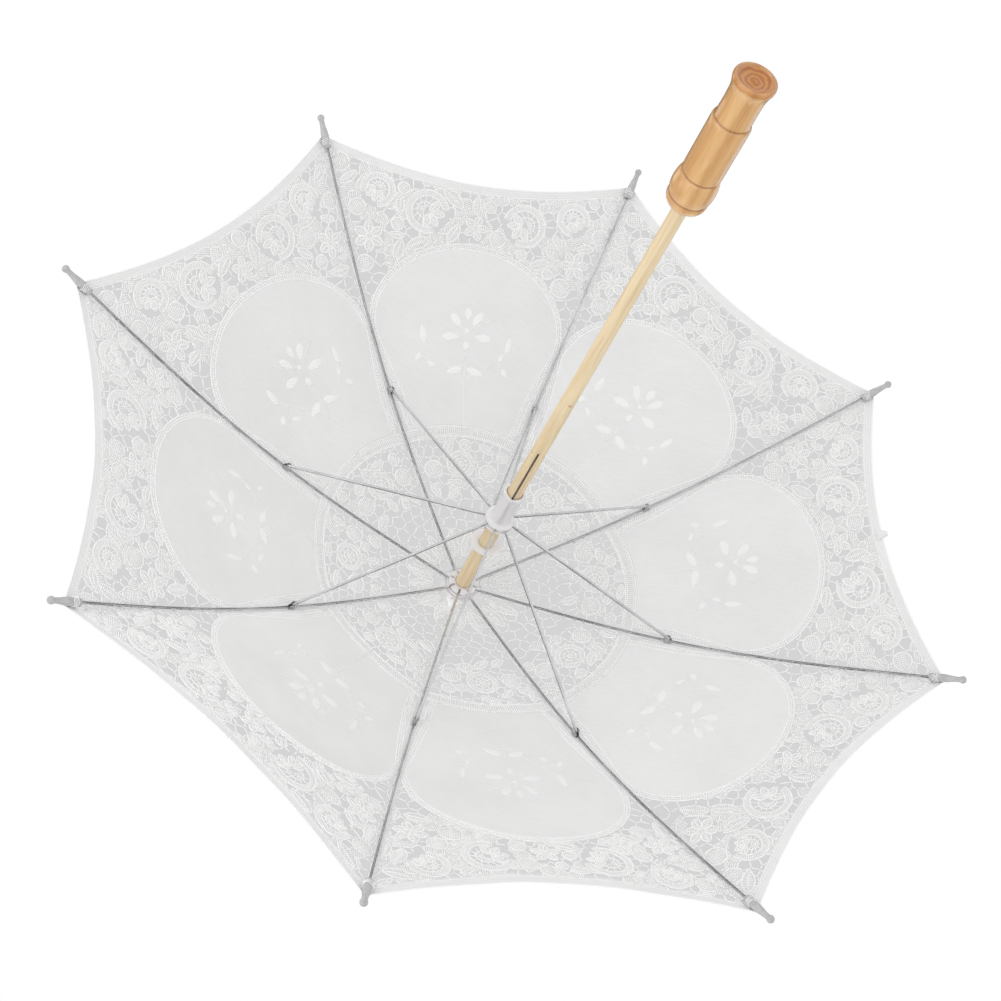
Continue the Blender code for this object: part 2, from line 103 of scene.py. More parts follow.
def smooth(t):
    t = np.clip(t, 0.0, 1.0)
    return t * t * (3 - 2 * t)


# ---------------------------------------------------------------- materials
def wired(tree, kind, inputs=None, **settings):
    """A new node with its inputs linked or set."""
    made = tree.nodes.new(kind)
    for key, value in settings.items():
        setattr(made, key, value)
    for key, value in (inputs or {}).items():
        if isinstance(value, bpy.types.NodeSocket):
            tree.links.new(value, made.inputs[key])
        else:
            made.inputs[key].default_value = value
    return made


class Look:
    """A node material built up step by step on a Principled shader."""

    def __init__(self, name, **sockets):
        self.material = bpy.data.materials.new(name)
        self.material.use_nodes = True
        self.tree = self.material.node_tree
        self.shader = self.tree.nodes["Principled BSDF"]
        for socket, value in sockets.items():
            self.shader.inputs[socket.replace("_", " ")].default_value = value
        self.place = self.tree.nodes.new("ShaderNodeTexCoord").outputs["Object"]
        self.normal = None

    def node(self, kind, inputs=None, **settings):
        return wired(self.tree, kind, inputs, **settings)

    def stretched(self, scale, turn=(0, 0, 0)):
        inputs = {"Vector": self.place, "Scale": scale, "Rotation": turn}
        return self.node("ShaderNodeMapping", inputs).outputs[0]

    def noise(self, scale, detail=4.0, vector=None, distortion=0.0):
        inputs = {"Vector": vector or self.place, "Scale": scale, "Detail": detail, "Distortion": distortion}
        return self.node("ShaderNodeTexNoise", inputs).outputs["Fac"]

    def bands(self, scale, vector, direction="X", distortion=0.0, detail=0.0):
        inputs = {"Vector": vector, "Scale": scale, "Distortion": distortion, "Detail": detail}
        return self.node("ShaderNodeTexWave", inputs, bands_direction=direction).outputs["Fac"]

    def ramp(self, value, stops):
        made = self.node("ShaderNodeValToRGB", {"Fac": value})
        ramp = made.color_ramp
        while len(ramp.elements) < len(stops):
            ramp.elements.new(0.5)
        for element, (at, colour) in zip(ramp.elements, stops):
            element.position = at
            element.color = (*colour, 1)
        return made.outputs["Color"]

    def mixed(self, share, a, b, blend="MIX"):
        made = self.node("ShaderNodeMix", data_type="RGBA", blend_type=blend)
        for index, value in ((0, share), (6, a), (7, b)):
            if isinstance(value, bpy.types.NodeSocket):
                self.tree.links.new(value, made.inputs[index])
            elif isinstance(value, tuple):
                made.inputs[index].default_value = (*value, 1)
            else:
                made.inputs[index].default_value = value
        return made.outputs[2]

    def between(self, value, low, high, start=0.0, end=1.0):
        """Low to high, while value goes from start to end."""
        inputs = {"Value": value, "From Min": start, "From Max": end, "To Min": low, "To Max": high}
        return self.node("ShaderNodeMapRange", inputs).outputs[0]

    def sums(self, operation, *values):
        return self.node("ShaderNodeMath", dict(enumerate(values)), operation=operation).outputs[0]

    def height(self):
        return self.node("ShaderNodeSeparateXYZ", {0: self.place}).outputs["Z"]

    def colour(self, socket):
        self.tree.links.new(socket, self.shader.inputs["Base Color"])

    def stained(self, value, *stops):
        """The base colour from a ramp over value."""
        self.colour(self.ramp(value, stops))

    def rough(self, value, low, high):
        self.tree.links.new(self.between(value, low, high), self.shader.inputs["Roughness"])

    def bump(self, height, strength, distance):
        inputs = {"Height": height, "Strength": strength, "Distance": distance}
        if self.normal is not None:
            inputs["Normal"] = self.normal
        self.normal = self.node("ShaderNodeBump", inputs).outputs[0]
        self.tree.links.new(self.normal, self.shader.inputs["Normal"])


# Where the wood's colour changes, and where the handle gets painted shade
NODE_MARK_Z = NOTCH_Z - 273 * MM  # a few brown marks round the shaft, where the wood had a node
NODE_MARK_HALF = 2.2 * MM
HANDLE_SPAN = (NOTCH_Z - 499 * MM, NOTCH_Z - 617 * MM)
# the painted shade rings in the handle's grooves
GROOVE_SHADE_RINGS = ((0.073, 0.009), (0.2565, 0.009), (0.69, 0.011))  # middle and half width, shares of the span
END_FACE_RIM = (11.2 * MM, 12.2 * MM)  # the end face's rings fade out between these radii


def cloth_looks():
    cotton = Look("cotton_voile", Roughness=0.92, Sheen_Weight=0.25, Sheen_Roughness=0.4)
    slub = cotton.noise(1.0, 3.0, cotton.stretched((60, 900, 300)))
    pale = cotton.ramp(cotton.noise(16.0, 3.0), [(0.3, (0.775, 0.775, 0.772)), (0.7, (0.82, 0.82, 0.818))])
    flecks = cotton.ramp(slub, [(0.35, (0.66, 0.66, 0.66)), (0.65, (0.9, 0.9, 0.9))])
    cotton.colour(cotton.mixed(0.12, pale, flecks))
    warp, weft = (cotton.bands(420.0, cotton.place, direction, 0.6, 1.0) for direction in "XY")
    cotton.bump(cotton.sums("MAXIMUM", warp, weft), 0.35, 0.00012)
    cotton.bump(slub, 0.25, 0.0002)
    cotton.bump(cotton.noise(30.0, 4.0), 0.5, 0.0016)

    lace = Look("lace_thread", Roughness=0.78, Sheen_Weight=0.35, Sheen_Roughness=0.35)
    fibre = lace.noise(900.0, 3.0, distortion=0.6)
    cloud = lace.ramp(lace.noise(22.0, 3.0), [(0.3, (0.91, 0.91, 0.907)), (0.7, (0.95, 0.95, 0.947))])
    lint = lace.ramp(fibre, [(0.3, (0.86, 0.86, 0.856)), (0.6, (0.99, 0.99, 0.985))])
    lace.colour(lace.mixed(0.35, cloud, lint))
    lace.bump(fibre, 0.6, 0.0002)
    twist = lace.bands(300.0, lace.stretched((1, 1, 1), (0.5, 0.6, 0.8)), "DIAGONAL", 1.5, 1.0)
    lace.bump(twist, 0.3, 0.0002)

    satin = Look("satin_stitch", Roughness=0.42, Sheen_Weight=0.3, Sheen_Roughness=0.3)
    floss = satin.bands(330.0, satin.place, "DIAGONAL", 2.0, 2.0)
    satin.stained(floss, (0.15, (0.84, 0.84, 0.837)), (0.55, (0.925, 0.925, 0.921)))
    satin.rough(satin.noise(120.0, 2.0), 0.34, 0.55)
    satin.bump(floss, 0.6, 0.00025)
    return {"cotton": cotton, "lace": lace, "satin": satin}


def metal_looks():
    steel = Look("plated_steel", Metallic=1.0, Roughness=0.26)
    brushed = steel.noise(24.0, 4.0, steel.stretched((1, 1, 3)))
    steel.stained(brushed, (0.3, (0.54, 0.54, 0.55)), (0.7, (0.74, 0.74, 0.75)))
    steel.rough(steel.noise(240.0, 4.0), 0.18, 0.38)
    steel.bump(steel.noise(800.0, 3.0), 0.12, 0.0001)

    spring = Look("spring_steel", Metallic=1.0, Roughness=0.4)
    spring.stained(spring.noise(300.0, 4.0), (0.3, (0.16, 0.15, 0.14)), (0.7, (0.30, 0.29, 0.28)))
    spring.rough(spring.noise(500.0, 3.0), 0.3, 0.5)
    spring.bump(spring.noise(1200.0, 3.0), 0.15, 0.0001)
    return {"steel": steel, "spring": spring}


def plastic_looks():
    clear = {"Subsurface_Weight": 0.4, "Subsurface_Scale": 0.004, "Subsurface_Radius": (1.0, 0.9, 0.85)}
    white = Look("milky_plastic", Roughness=0.34, IOR=1.5, Transmission_Weight=0.2, **clear)
    milk = white.noise(110.0, 4.0)
    white.stained(milk, (0.3, (0.965, 0.925, 0.935)), (0.7, (0.995, 0.96, 0.97)))
    white.rough(milk, 0.28, 0.42)
    white.bump(white.noise(420.0, 3.0), 0.12, 0.0002)

    grey = Look("tip_plastic", Roughness=0.4, IOR=1.48)
    haze = grey.noise(260.0, 4.0)
    grey.stained(haze, (0.3, (0.42, 0.42, 0.425)), (0.7, (0.52, 0.52, 0.525)))
    grey.rough(haze, 0.32, 0.48)
    grey.bump(grey.noise(700.0, 3.0), 0.12, 0.0001)
    return {"white": white, "grey": grey}


def shaft_look():
    stick = Look("pale_bamboo", Roughness=0.45, Coat_Weight=0.15, Coat_Roughness=0.3)
    grain = stick.noise(420.0, 6.0, stick.stretched((1, 1, 0.035)), 0.4)
    pores = stick.noise(1500.0, 3.0, stick.stretched((1, 1, 0.02)))
    blush = stick.noise(9.0, 2.0, stick.stretched((1, 1, 2)))
    stops = [(0.3, (0.64, 0.475, 0.275)), (0.5, (0.745, 0.595, 0.37)), (0.72, (0.80, 0.67, 0.455))]
    base = stick.mixed(stick.between(pores, -0.1, 0.35), stick.ramp(grain, stops), (0.56, 0.37, 0.18))
    base = stick.mixed(stick.between(blush, 0.0, 0.3), base, (0.835, 0.71, 0.505))
    off = stick.sums("ABSOLUTE", stick.sums("SUBTRACT", stick.height(), NODE_MARK_Z))
    ring = stick.between(off, 1.0, 0.0, 0.0, NODE_MARK_HALF)
    patches = stick.between(stick.noise(260.0, 2.0), 0.0, 1.0, 0.5, 0.6)
    stick.colour(stick.mixed(stick.sums("MULTIPLY", ring, patches), base, (0.42, 0.22, 0.09)))
    stick.rough(grain, 0.36, 0.52)
    stick.bump(grain, 0.25, 0.0003)
    stick.bump(pores, 0.2, 0.0002)
    return stick


def handle_look():
    grip = Look("varnished_wood", Roughness=0.36, Coat_Weight=0.9, Coat_Roughness=0.07, IOR=1.5)
    rings = grip.bands(26.0, grip.stretched((1, 0.8, 0.07), (0.1, 0.06, 0)), "X", 5.0, 3.0)
    fine = grip.noise(700.0, 6.0, grip.stretched((1, 1, 0.06)), 0.3)
    stops = [(0.1, (0.59, 0.31, 0.116)), (0.5, (0.675, 0.387, 0.152)), (0.9, (0.73, 0.44, 0.195))]
    streaks = grip.ramp(fine, [(0.32, (0.50, 0.248, 0.086)), (0.62, (0.76, 0.49, 0.227))])
    base = grip.mixed(0.25, grip.ramp(rings, stops), streaks)

    # painted shade: darker rings where the lathe cut a groove; the handle's top and its curled end are darker
    # too
    plain, groove_shade = (1.0, 1.0, 1.0), (0.52, 0.38, 0.28)
    stops = [(0.0, (0.8, 0.7, 0.6)), (0.02, plain)]
    for middle, half in GROOVE_SHADE_RINGS:
        stops += [(middle - half, plain), (middle, groove_shade), (middle + half, plain)]
    stops += [(0.955, plain), (0.975, (0.82, 0.66, 0.54)), (1.0, (0.86, 0.72, 0.6))]
    down = grip.between(grip.height(), 0.0, 1.0, *HANDLE_SPAN)
    base = grip.mixed(1.0, base, grip.ramp(down, stops), "MULTIPLY")

    # the end face, with the wood's rings
    flat = grip.node("ShaderNodeVectorMath", {0: grip.place, 1: (1, 1, 0)}, operation="MULTIPLY").outputs[0]
    out = grip.node("ShaderNodeVectorMath", {0: flat}, operation="LENGTH").outputs["Value"]
    years = {"Vector": grip.place, "Scale": 95.0, "Distortion": 7.0, "Detail": 4.0}
    years = grip.node("ShaderNodeTexWave", years, wave_type="RINGS", rings_direction="Z").outputs["Fac"]
    stops = [(0.1, (0.40, 0.115, 0.01)), (0.5, (0.50, 0.17, 0.02)), (0.9, (0.58, 0.24, 0.04))]
    grip.colour(grip.mixed(grip.between(out, 1.0, 0.0, *END_FACE_RIM), base, grip.ramp(years, stops)))
    grip.rough(fine, 0.28, 0.42)
    grip.bump(fine, 0.12, 0.0003)
    return grip


def floor_look():
    ground = Look("pale_floor", Roughness=0.9)
    ground.stained(ground.noise(6.0, 4.0), (0.3, (0.92, 0.92, 0.92)), (0.7, (0.94, 0.94, 0.94)))
    return ground


looks = {**cloth_looks(), **metal_looks(), **plastic_looks()}
looks.update(shaft=shaft_look(), handle=handle_look(), floor=floor_look())
looks = {key: look.material for key, look in looks.items()}


# ---------------------------------------------------------------- meshes
def build(name, vertices, groups, materials):
    """An object from vertices in metres and groups of (faces, material index)."""
    mesh = bpy.data.meshes.new(name)
    vertices = np.asarray(vertices, float).reshape(-1, 3)
    mesh.vertices.add(len(vertices))
    mesh.vertices.foreach_set("co", vertices.astype(np.float32).ravel())
    groups = [(np.asarray(faces, int), slot) for faces, slot in groups if len(faces)]
    corners = np.concatenate([faces.ravel() for faces, _ in groups])
    sizes = np.concatenate([np.full(len(faces), faces.shape[1]) for faces, _ in groups])
    slots = np.concatenate([np.full(len(faces), slot) for faces, slot in groups])
    mesh.loops.add(len(corners))
    mesh.loops.foreach_set("vertex_index", corners)
    mesh.polygons.add(len(sizes))
    mesh.polygons.foreach_set("loop_start", np.concatenate([[0], np.cumsum(sizes)[:-1]]))
    mesh.polygons.foreach_set("material_index", slots)
    mesh.update(calc_edges=True)
    mesh.validate()
    for material in materials:
        mesh.materials.append(material)
    mesh.shade_smooth()
    made = bpy.data.objects.new(name, mesh)
    bpy.context.scene.collection.objects.link(made)
    return made


def finer(profile, parts=4):
    """The same profile with rounded stretches between its points."""
    points = [Vector((*p, 0)) for p in profile]
    made = []
    for i in range(len(points) - 1):
        a, b = points[i], points[i + 1]
        before, after = points[max(i - 1, 0)], points[min(i + 2, len(points) - 1)]
        reach = (b - a).length
        lead = (b - before).normalized() * reach if (b - before).length else b - a
        trail = (after - a).normalized() * reach if (after - a).length else b - a
        for step in range(parts):
            t = step / parts
            h1, h2 = 2 * t**3 - 3 * t**2 + 1, t**3 - 2 * t**2 + t
            h3, h4 = 3 * t**2 - 2 * t**3, t**3 - t**2
            p = a * h1 + lead * h2 + b * h3 + trail * h4
            made.append((max(p.x, 0.0), p.y))
    return made + [tuple(profile[-1])]


SHARP = 32  # degrees between faces


def faces_outward(piece):
    shape = bmesh.new()
    shape.from_mesh(piece.data)
    bmesh.ops.recalc_face_normals(shape, faces=shape.faces)
    shape.to_mesh(piece.data)
    shape.free()


def turned(name, profile, material, steps, closed=False, matrix=None):
    """A turned piece from (radius, height) points in millimetres."""
    turn = np.linspace(0, 2 * math.pi, steps, endpoint=False)
    vertices, rows = [], []
    for radius, height in profile:
        if radius < 1e-6:
            rows.append([len(vertices)] * steps)
            vertices.append((0, 0, height * MM))
        else:
            rows.append(list(range(len(vertices), len(vertices) + steps)))
            vertices += [(radius * MM * math.cos(a), radius * MM * math.sin(a), height * MM) for a in turn]
    pairs = list(zip(rows, rows[1:])) + ([(rows[-1], rows[0])] if closed else [])
    faces = []
    for near, far in pairs:
        for i in range(steps):
            j = (i + 1) % steps
            faces.append(tuple(dict.fromkeys([near[i], far[i], far[j], near[j]])))
    quads = [face for face in faces if len(face) == 4]
    corners = [face for face in faces if len(face) == 3]
    made = build(name, vertices, [(quads, 0), (corners, 0)], [material])
    faces_outward(made)
    sharp_edges(made, SHARP)
    if matrix is not None:
        made.data.transform(matrix)
    return made


def sharp_edges(piece, degrees):
    """Marks the edges that bend more than this, so that smooth shading stops there."""
    shape = bmesh.new()
    shape.from_mesh(piece.data)
    for edge in shape.edges:
        edge.smooth = len(edge.link_faces) != 2 or edge.calc_face_angle(0) < math.radians(degrees)
    shape.to_mesh(piece.data)
    shape.free()


def loft(name, rings, material, sharp=30):
    """A closed body through rings of (x, y, z) points in metres."""
    rings = [np.asarray(ring, float) for ring in rings]
    n = len(rings[0])
    faces = []
    for r in range(len(rings) - 1):
        for i in range(n):
            j = (i + 1) % n
            faces.append((r * n + i, (r + 1) * n + i, (r + 1) * n + j, r * n + j))
    ends = [tuple(range(n)), tuple(reversed(range((len(rings) - 1) * n, len(rings) * n)))]
    made = build(name, np.concatenate(rings), [(faces, 0), (ends, 0)], [material])
    faces_outward(made)
    sharp_edges(made, sharp)
    return made


def cut_out(piece, cutters):
    """Takes the cutters out of a piece for good."""
    for cutter in cutters:
        boolean = piece.modifiers.new("cut", "BOOLEAN")
        boolean.operation = "DIFFERENCE"
        boolean.solver = "EXACT"
        boolean.object = cutter
    bpy.context.view_layer.update()
    evaluated = piece.evaluated_get(bpy.context.evaluated_depsgraph_get())
    mesh = bpy.data.meshes.new_from_object(evaluated)
    piece.modifiers.clear()
    piece.data = mesh
    for cutter in cutters:
        bpy.data.objects.remove(cutter)
    sharp_edges(piece, SHARP)


def block(low, high, matrix):
    """A plain cutter box, in millimetres before its matrix."""
    mesh = bpy.data.meshes.new("cutter")
    shape = bmesh.new()
    bmesh.ops.create_cube(shape, size=1)
    size, middle = (Vector(high) - Vector(low)) * MM, (Vector(high) + Vector(low)) * MM / 2
    stretch = Matrix.Diagonal((*size, 1))
    bmesh.ops.transform(shape, matrix=matrix @ Matrix.Translation(middle) @ stretch, verts=shape.verts)
    shape.to_mesh(mesh)
    shape.free()
    cutter = bpy.data.objects.new("cutter", mesh)
    bpy.context.scene.collection.objects.link(cutter)
    return cutter


def around(azimuth, radius, height, pitch=0.0):
    """A place in a rib's plane, in metres: local +X is outward, turned down by pitch."""
    turn = Matrix.Rotation(azimuth, 4, "Z")
    return turn @ Matrix.Translation((radius, 0, height)) @ Matrix.Rotation(pitch, 4, "Y")


def up_to(height):
    return Matrix.Translation((0, 0, height))


def settle(piece, body, slot, *nodes):
    """Puts a piece on its body, in its material slot and in place of its CAD nodes."""
    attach(piece, body)
    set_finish(piece, slot)
    if nodes:
        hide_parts(*nodes)
    return piece


def repaint(name, look):
    """A CAD node that is kept, with a look of its own."""
    node = frame["nodes"][name]
    node.data.materials.clear()
    node.data.materials.append(looks[look])
    return node


# ---------------------------------------------------------------- camera, light and floor
EYE = Vector((0.1302, -1.0048, -0.8018))
AIM = Vector((-0.0007, 0.0637, 0.5085))
ROLL = math.radians(-150.05)
FIELD = math.radians(29.06)

camera = bpy.data.objects.new("camera", bpy.data.cameras.new("camera"))
bpy.context.scene.collection.objects.link(camera)
camera.location = EYE
camera.rotation_mode = "QUATERNION"
level = (AIM - EYE).to_track_quat("-Z", "Y")
camera.rotation_quaternion = level @ Matrix.Rotation(ROLL, 3, "Z").to_quaternion()
camera.data.sensor_width = 36
camera.data.lens = camera.data.sensor_width / 2 / math.tan(FIELD / 2)
camera.data.clip_start, camera.data.clip_end = 0.01, 50
bpy.context.scene.camera = camera
bpy.context.scene.view_settings.view_transform = "Standard"

sight = camera.rotation_quaternion.to_matrix()
RIGHT, UP, BACK = sight.col[0], sight.col[1], sight.col[2]
CANOPY_MIDDLE = Vector((0, 0, 0.48))
# grey of the painted shadow on the backdrop behind the open canopy
BACKDROP_SHADOW_GREY = 0.66
SOFT_LIGHT_FROM = Vector((0.3, -0.9, -0.35)).normalized()


def lamp(name, at, power, size):
    light = bpy.data.lights.new(name, "AREA")
    light.energy, light.size = power, size
    made = bpy.data.objects.new(name, light)
    made.location = at
    made.rotation_mode = "QUATERNION"
    made.rotation_quaternion = (CANOPY_MIDDLE - at).to_track_quat("-Z", "Y")
    bpy.context.scene.collection.objects.link(made)


lamp("key", EYE + RIGHT * -0.9 + UP * 0.9, 5.0, 0.9)
lamp("overhead", Vector((-0.5, 0.6, 2.4)), 2.0, 1.0)
lamp("side", Vector((1.7, 0.9, 0.9)), 3.0, 1.0)

FLOOR_Z = -2.7  # low enough for views from steeply below
FLOOR_HALF = 30
corners = [(x * FLOOR_HALF, y * FLOOR_HALF, FLOOR_Z) for x, y in ((-1, -1), (1, -1), (1, 1), (-1, 1))]
floor = build("floor", corners, [([(0, 1, 2, 3)], 0)], [looks["floor"]])


# ---------------------------------------------------------------- the ribs' curve and the cloth on it
s_table = np.linspace(0, RIB_LENGTH, 1711)
outer = RIB_LENGTH - JOINT_AT
beyond = s_table - JOINT_AT
slope_table = RIB_START_SLOPE + np.where(
    s_table < JOINT_AT,
    RIB_PEAK_CURVATURE * s_table**2 / (2 * JOINT_AT),
    RIB_PEAK_CURVATURE * (JOINT_AT / 2 + beyond - beyond**2 / (2 * outer)),
)
gap = s_table[1] - s_table[0]


def summed(values):
    return np.concatenate([[0], np.cumsum((values[1:] + values[:-1]) / 2) * gap])


out_table = summed(np.cos(slope_table))
down_table = summed(np.sin(slope_table))


def over_rib(s, lift):
    """Radius and height, in metres, of points over a rib's centre line."""
    slope = np.interp(s, s_table, slope_table)
    radius = PIVOT_RADIUS + (np.interp(s, s_table, out_table) + lift * np.sin(slope)) * MM
    height = NOTCH_Z + (lift * np.cos(slope) - np.interp(s, s_table, down_table)) * MM
    return radius, height


def cloth_lift(s):
    return CLOTH_LIFT + (CLOTH_LIFT_AT_TIP - CLOTH_LIFT) * smooth((s - 372) / 24)


def half_chord(s):
    """Half a gore's width at s, in millimetres."""
    return over_rib(s, cloth_lift(s))[0] * math.sin(STEP / 2) / MM


def hem_edge(share):
    """s of the hem's edge at a share of the gore's half width."""
    return HEM_AT_MIDDLE + (HEM_AT_RIB - HEM_AT_MIDDLE) * share**2


def hem_at(x):
    return hem_edge(np.minimum(np.abs(x) / half_chord(np.full_like(x, 400.0)), 1.0))


def placed(k, x, s, lift=0.0):
    """Points of gore k in metres; the gore lies between rib k and the next, k counted from 0."""
    half = half_chord(s)
    share = np.clip(x / half, -1, 1)
    azimuth = (k + 0.5) * STEP + share * STEP / 2
    slide = CLOTH_SHIFT * np.cos(azimuth - CLOTH_SHIFT_AZIMUTH)
    s = s + slide * smooth(s / 70) * (1 - smooth((s - 290) / 90))
    bow = 1 - share**2
    ripple = 0.35 * np.sin(x / 13.0 + 1.7 * k + s / 31.0) + 0.25 * np.sin(s / 17.0 - x / 23.0 + 2.6 * k)
    lift = cloth_lift(s) + lift + bow * (ripple - MIDDLE_SAG * smooth(s / 160))
    radius, height = over_rib(s, lift)
    before, after = k * STEP, (k + 1) * STEP
    there = (share + 1) / 2
    x, y = (radius * ((1 - there) * part(before) + there * part(after)) for part in (math.cos, math.sin))
    return np.stack([x, y, height], axis=-1)


def unit(vectors):
    return vectors / np.maximum(np.linalg.norm(vectors, axis=-1, keepdims=True), 1e-12)


def outward(k, x, s, near=0.4):
    """The cloth's outer normal, from points this near."""
    across = placed(k, x + near, s) - placed(k, x - near, s)
    along = placed(k, x, s + near) - placed(k, x, s - near)
    normal = unit(np.cross(along, across))
    return np.where(normal[..., 2:] < 0, -normal, normal)


def guarded(grid, share=0.025):
    """The grid with one more row close to its first one and one close to its last."""
    first = grid[:1] + (grid[1:2] - grid[:1]) * share
    last = grid[-1:] + (grid[-2:-1] - grid[-1:]) * share
    return np.concatenate([grid[:1], first, grid[1:-1], last, grid[-1:]])


class Cloth:
    """One canopy sector's mesh as it grows: vertices, quads by material slot and other faces."""

    COTTON, LACE, SATIN = range(3)

    def __init__(self):
        self.vertices, self.groups, self.count = [], [], 0

    def take(self, vertices, groups):
        self.vertices.append(vertices.reshape(-1, 3))
        self.groups += [(np.asarray(faces) + self.count, slot) for faces, slot in groups if len(faces)]
        self.count += vertices.reshape(-1, 3).shape[0]

    def take_threads(self, k, threads, slot):
        """Closed four-sided tubes."""
        if not threads:
            return
        counts = np.array([len(points) for points, *_ in threads])
        flat = np.concatenate([points for points, *_ in threads])
        wide = np.repeat([t[1] for t in threads], counts)[:, None] * MM
        high = np.repeat([t[2] for t in threads], counts)[:, None] * MM
        x, s = flat[:, 0], flat[:, 1]
        middle = placed(k, x, s)
        normal = outward(k, x, s)
        ends = np.cumsum(counts) - 1
        starts = ends - counts + 1
        index = np.arange(len(flat))
        ahead, behind = index + 1, index - 1
        ahead[ends], behind[starts] = ends, starts
        along = unit(middle[ahead] - middle[behind])
        side = unit(np.cross(normal, along))
        top = np.cross(along, side)
        side, top = side * wide, top * high
        ring = np.stack([middle + side, middle + top, middle - side, middle - top], 1)
        near = np.delete(index, ends) * 4
        turns = [(c, (c + 1) % 4) for c in range(4)]
        faces = [np.stack([near + c, near + d, near + 4 + d, near + 4 + c], 1) for c, d in turns]
        faces.append(np.stack([starts * 4 + c for c in (3, 2, 1, 0)], 1))
        faces.append(np.stack([ends * 4 + c for c in range(4)], 1))
        self.take(ring, [(np.concatenate(faces), slot)])

    def take_sheet(self, k, x, s, slot, lift=0.0):
        """A sheet of two faces and a rim over a grid; close rows keep its border's shading even."""
        x, s = (guarded(guarded(grid).T).T for grid in (x, s))
        rows, columns = x.shape
        layers = [placed(k, x, s, np.full_like(x, lift + side * HALF_CLOTH)) for side in (1, -1)]
        number = np.arange(rows * columns).reshape(rows, columns)
        quads = [number[:-1, :-1], number[1:, :-1], number[1:, 1:], number[:-1, 1:]]
        quads = np.stack(quads, -1).reshape(-1, 4)
        rim = np.concatenate([number[0, :], number[1:, -1], number[-1, -2::-1], number[-2::-1, 0]])
        below = rim + rows * columns
        edge = np.stack([rim[:-1], rim[1:], below[1:], below[:-1]], 1)
        middle = layers[0].reshape(-1, 3)
        a, b, c = (middle[quads[len(quads) // 2, i]] for i in (0, 1, 2))
        if np.cross(b - a, c - a)[2] < 0:
            quads, edge = quads[:, ::-1], edge[:, ::-1]
        faces = np.concatenate([quads, quads[:, ::-1] + rows * columns])
        self.take(np.stack(layers), [(faces, slot), (edge, slot)])

    def take_pads(self, k, pads, slot):
        """Raised stitching: closed lenses, each (centre x, centre s, angle, length, width, height, taper)."""
        rings, sides = 4, 18
        total = 1 + rings * sides
        share = np.sin(np.linspace(0, math.pi / 2, rings + 1))[1:]
        turn = np.linspace(0, 2 * math.pi, sides, endpoint=False)
        for cx, cs, angle, length, width, height, taper in pads:
            along = np.cos(turn)
            across = np.sin(turn) * np.abs(np.sin(turn)) ** 0.35 * (1 - taper * along)
            u = np.concatenate([[0.0], np.outer(share, along).ravel()]) * length / 2
            v = np.concatenate([[0.0], np.outer(share, across).ravel()]) * width / 2
            rise = np.concatenate([[1.0], np.repeat(np.sqrt(1 - share**2), sides)]) * height
            x = cx + u * math.cos(angle) - v * math.sin(angle)
            s = cs + u * math.sin(angle) + v * math.cos(angle)
            inner = np.array([[0, 1 + i, 1 + (i + 1) % sides] for i in range(sides)])
            here = 1 + np.arange((rings - 1) * sides)
            following = np.where(here % sides == 0, here + 1 - sides, here + 1)
            quads = np.stack([here, here + sides, following + sides, following], 1)
            upper = placed(k, x, s, HALF_CLOTH + rise)
            lower = placed(k, x, s, -HALF_CLOTH - rise)
            last = 1 + (rings - 1) * sides + np.arange(sides)
            follow = np.roll(last, -1)
            rim = np.stack([last, last + total, follow + total, follow], 1)
            groups = [
                (np.concatenate([inner, inner[:, ::-1] + total]), slot),
                (np.concatenate([quads, quads[:, ::-1] + total, rim]), slot),
            ]
            self.take(np.concatenate([upper, lower]), groups)


# ---------------------------------------------------------------- the studio round the canopy
# Strip lights for glossy rays: direction, where the edge starts and ends, strength
STRIPS = (
    ((0, 0, -1), 0.5, 0.8, 0.95),
    ((0, 0, 1), 0.86, 0.97, 0.6),
    ((0.8, -0.6, 0), 0.8, 0.9, 1.1),
    ((-0.75, 0.5, 0.4), 0.85, 0.95, 0.9),
)


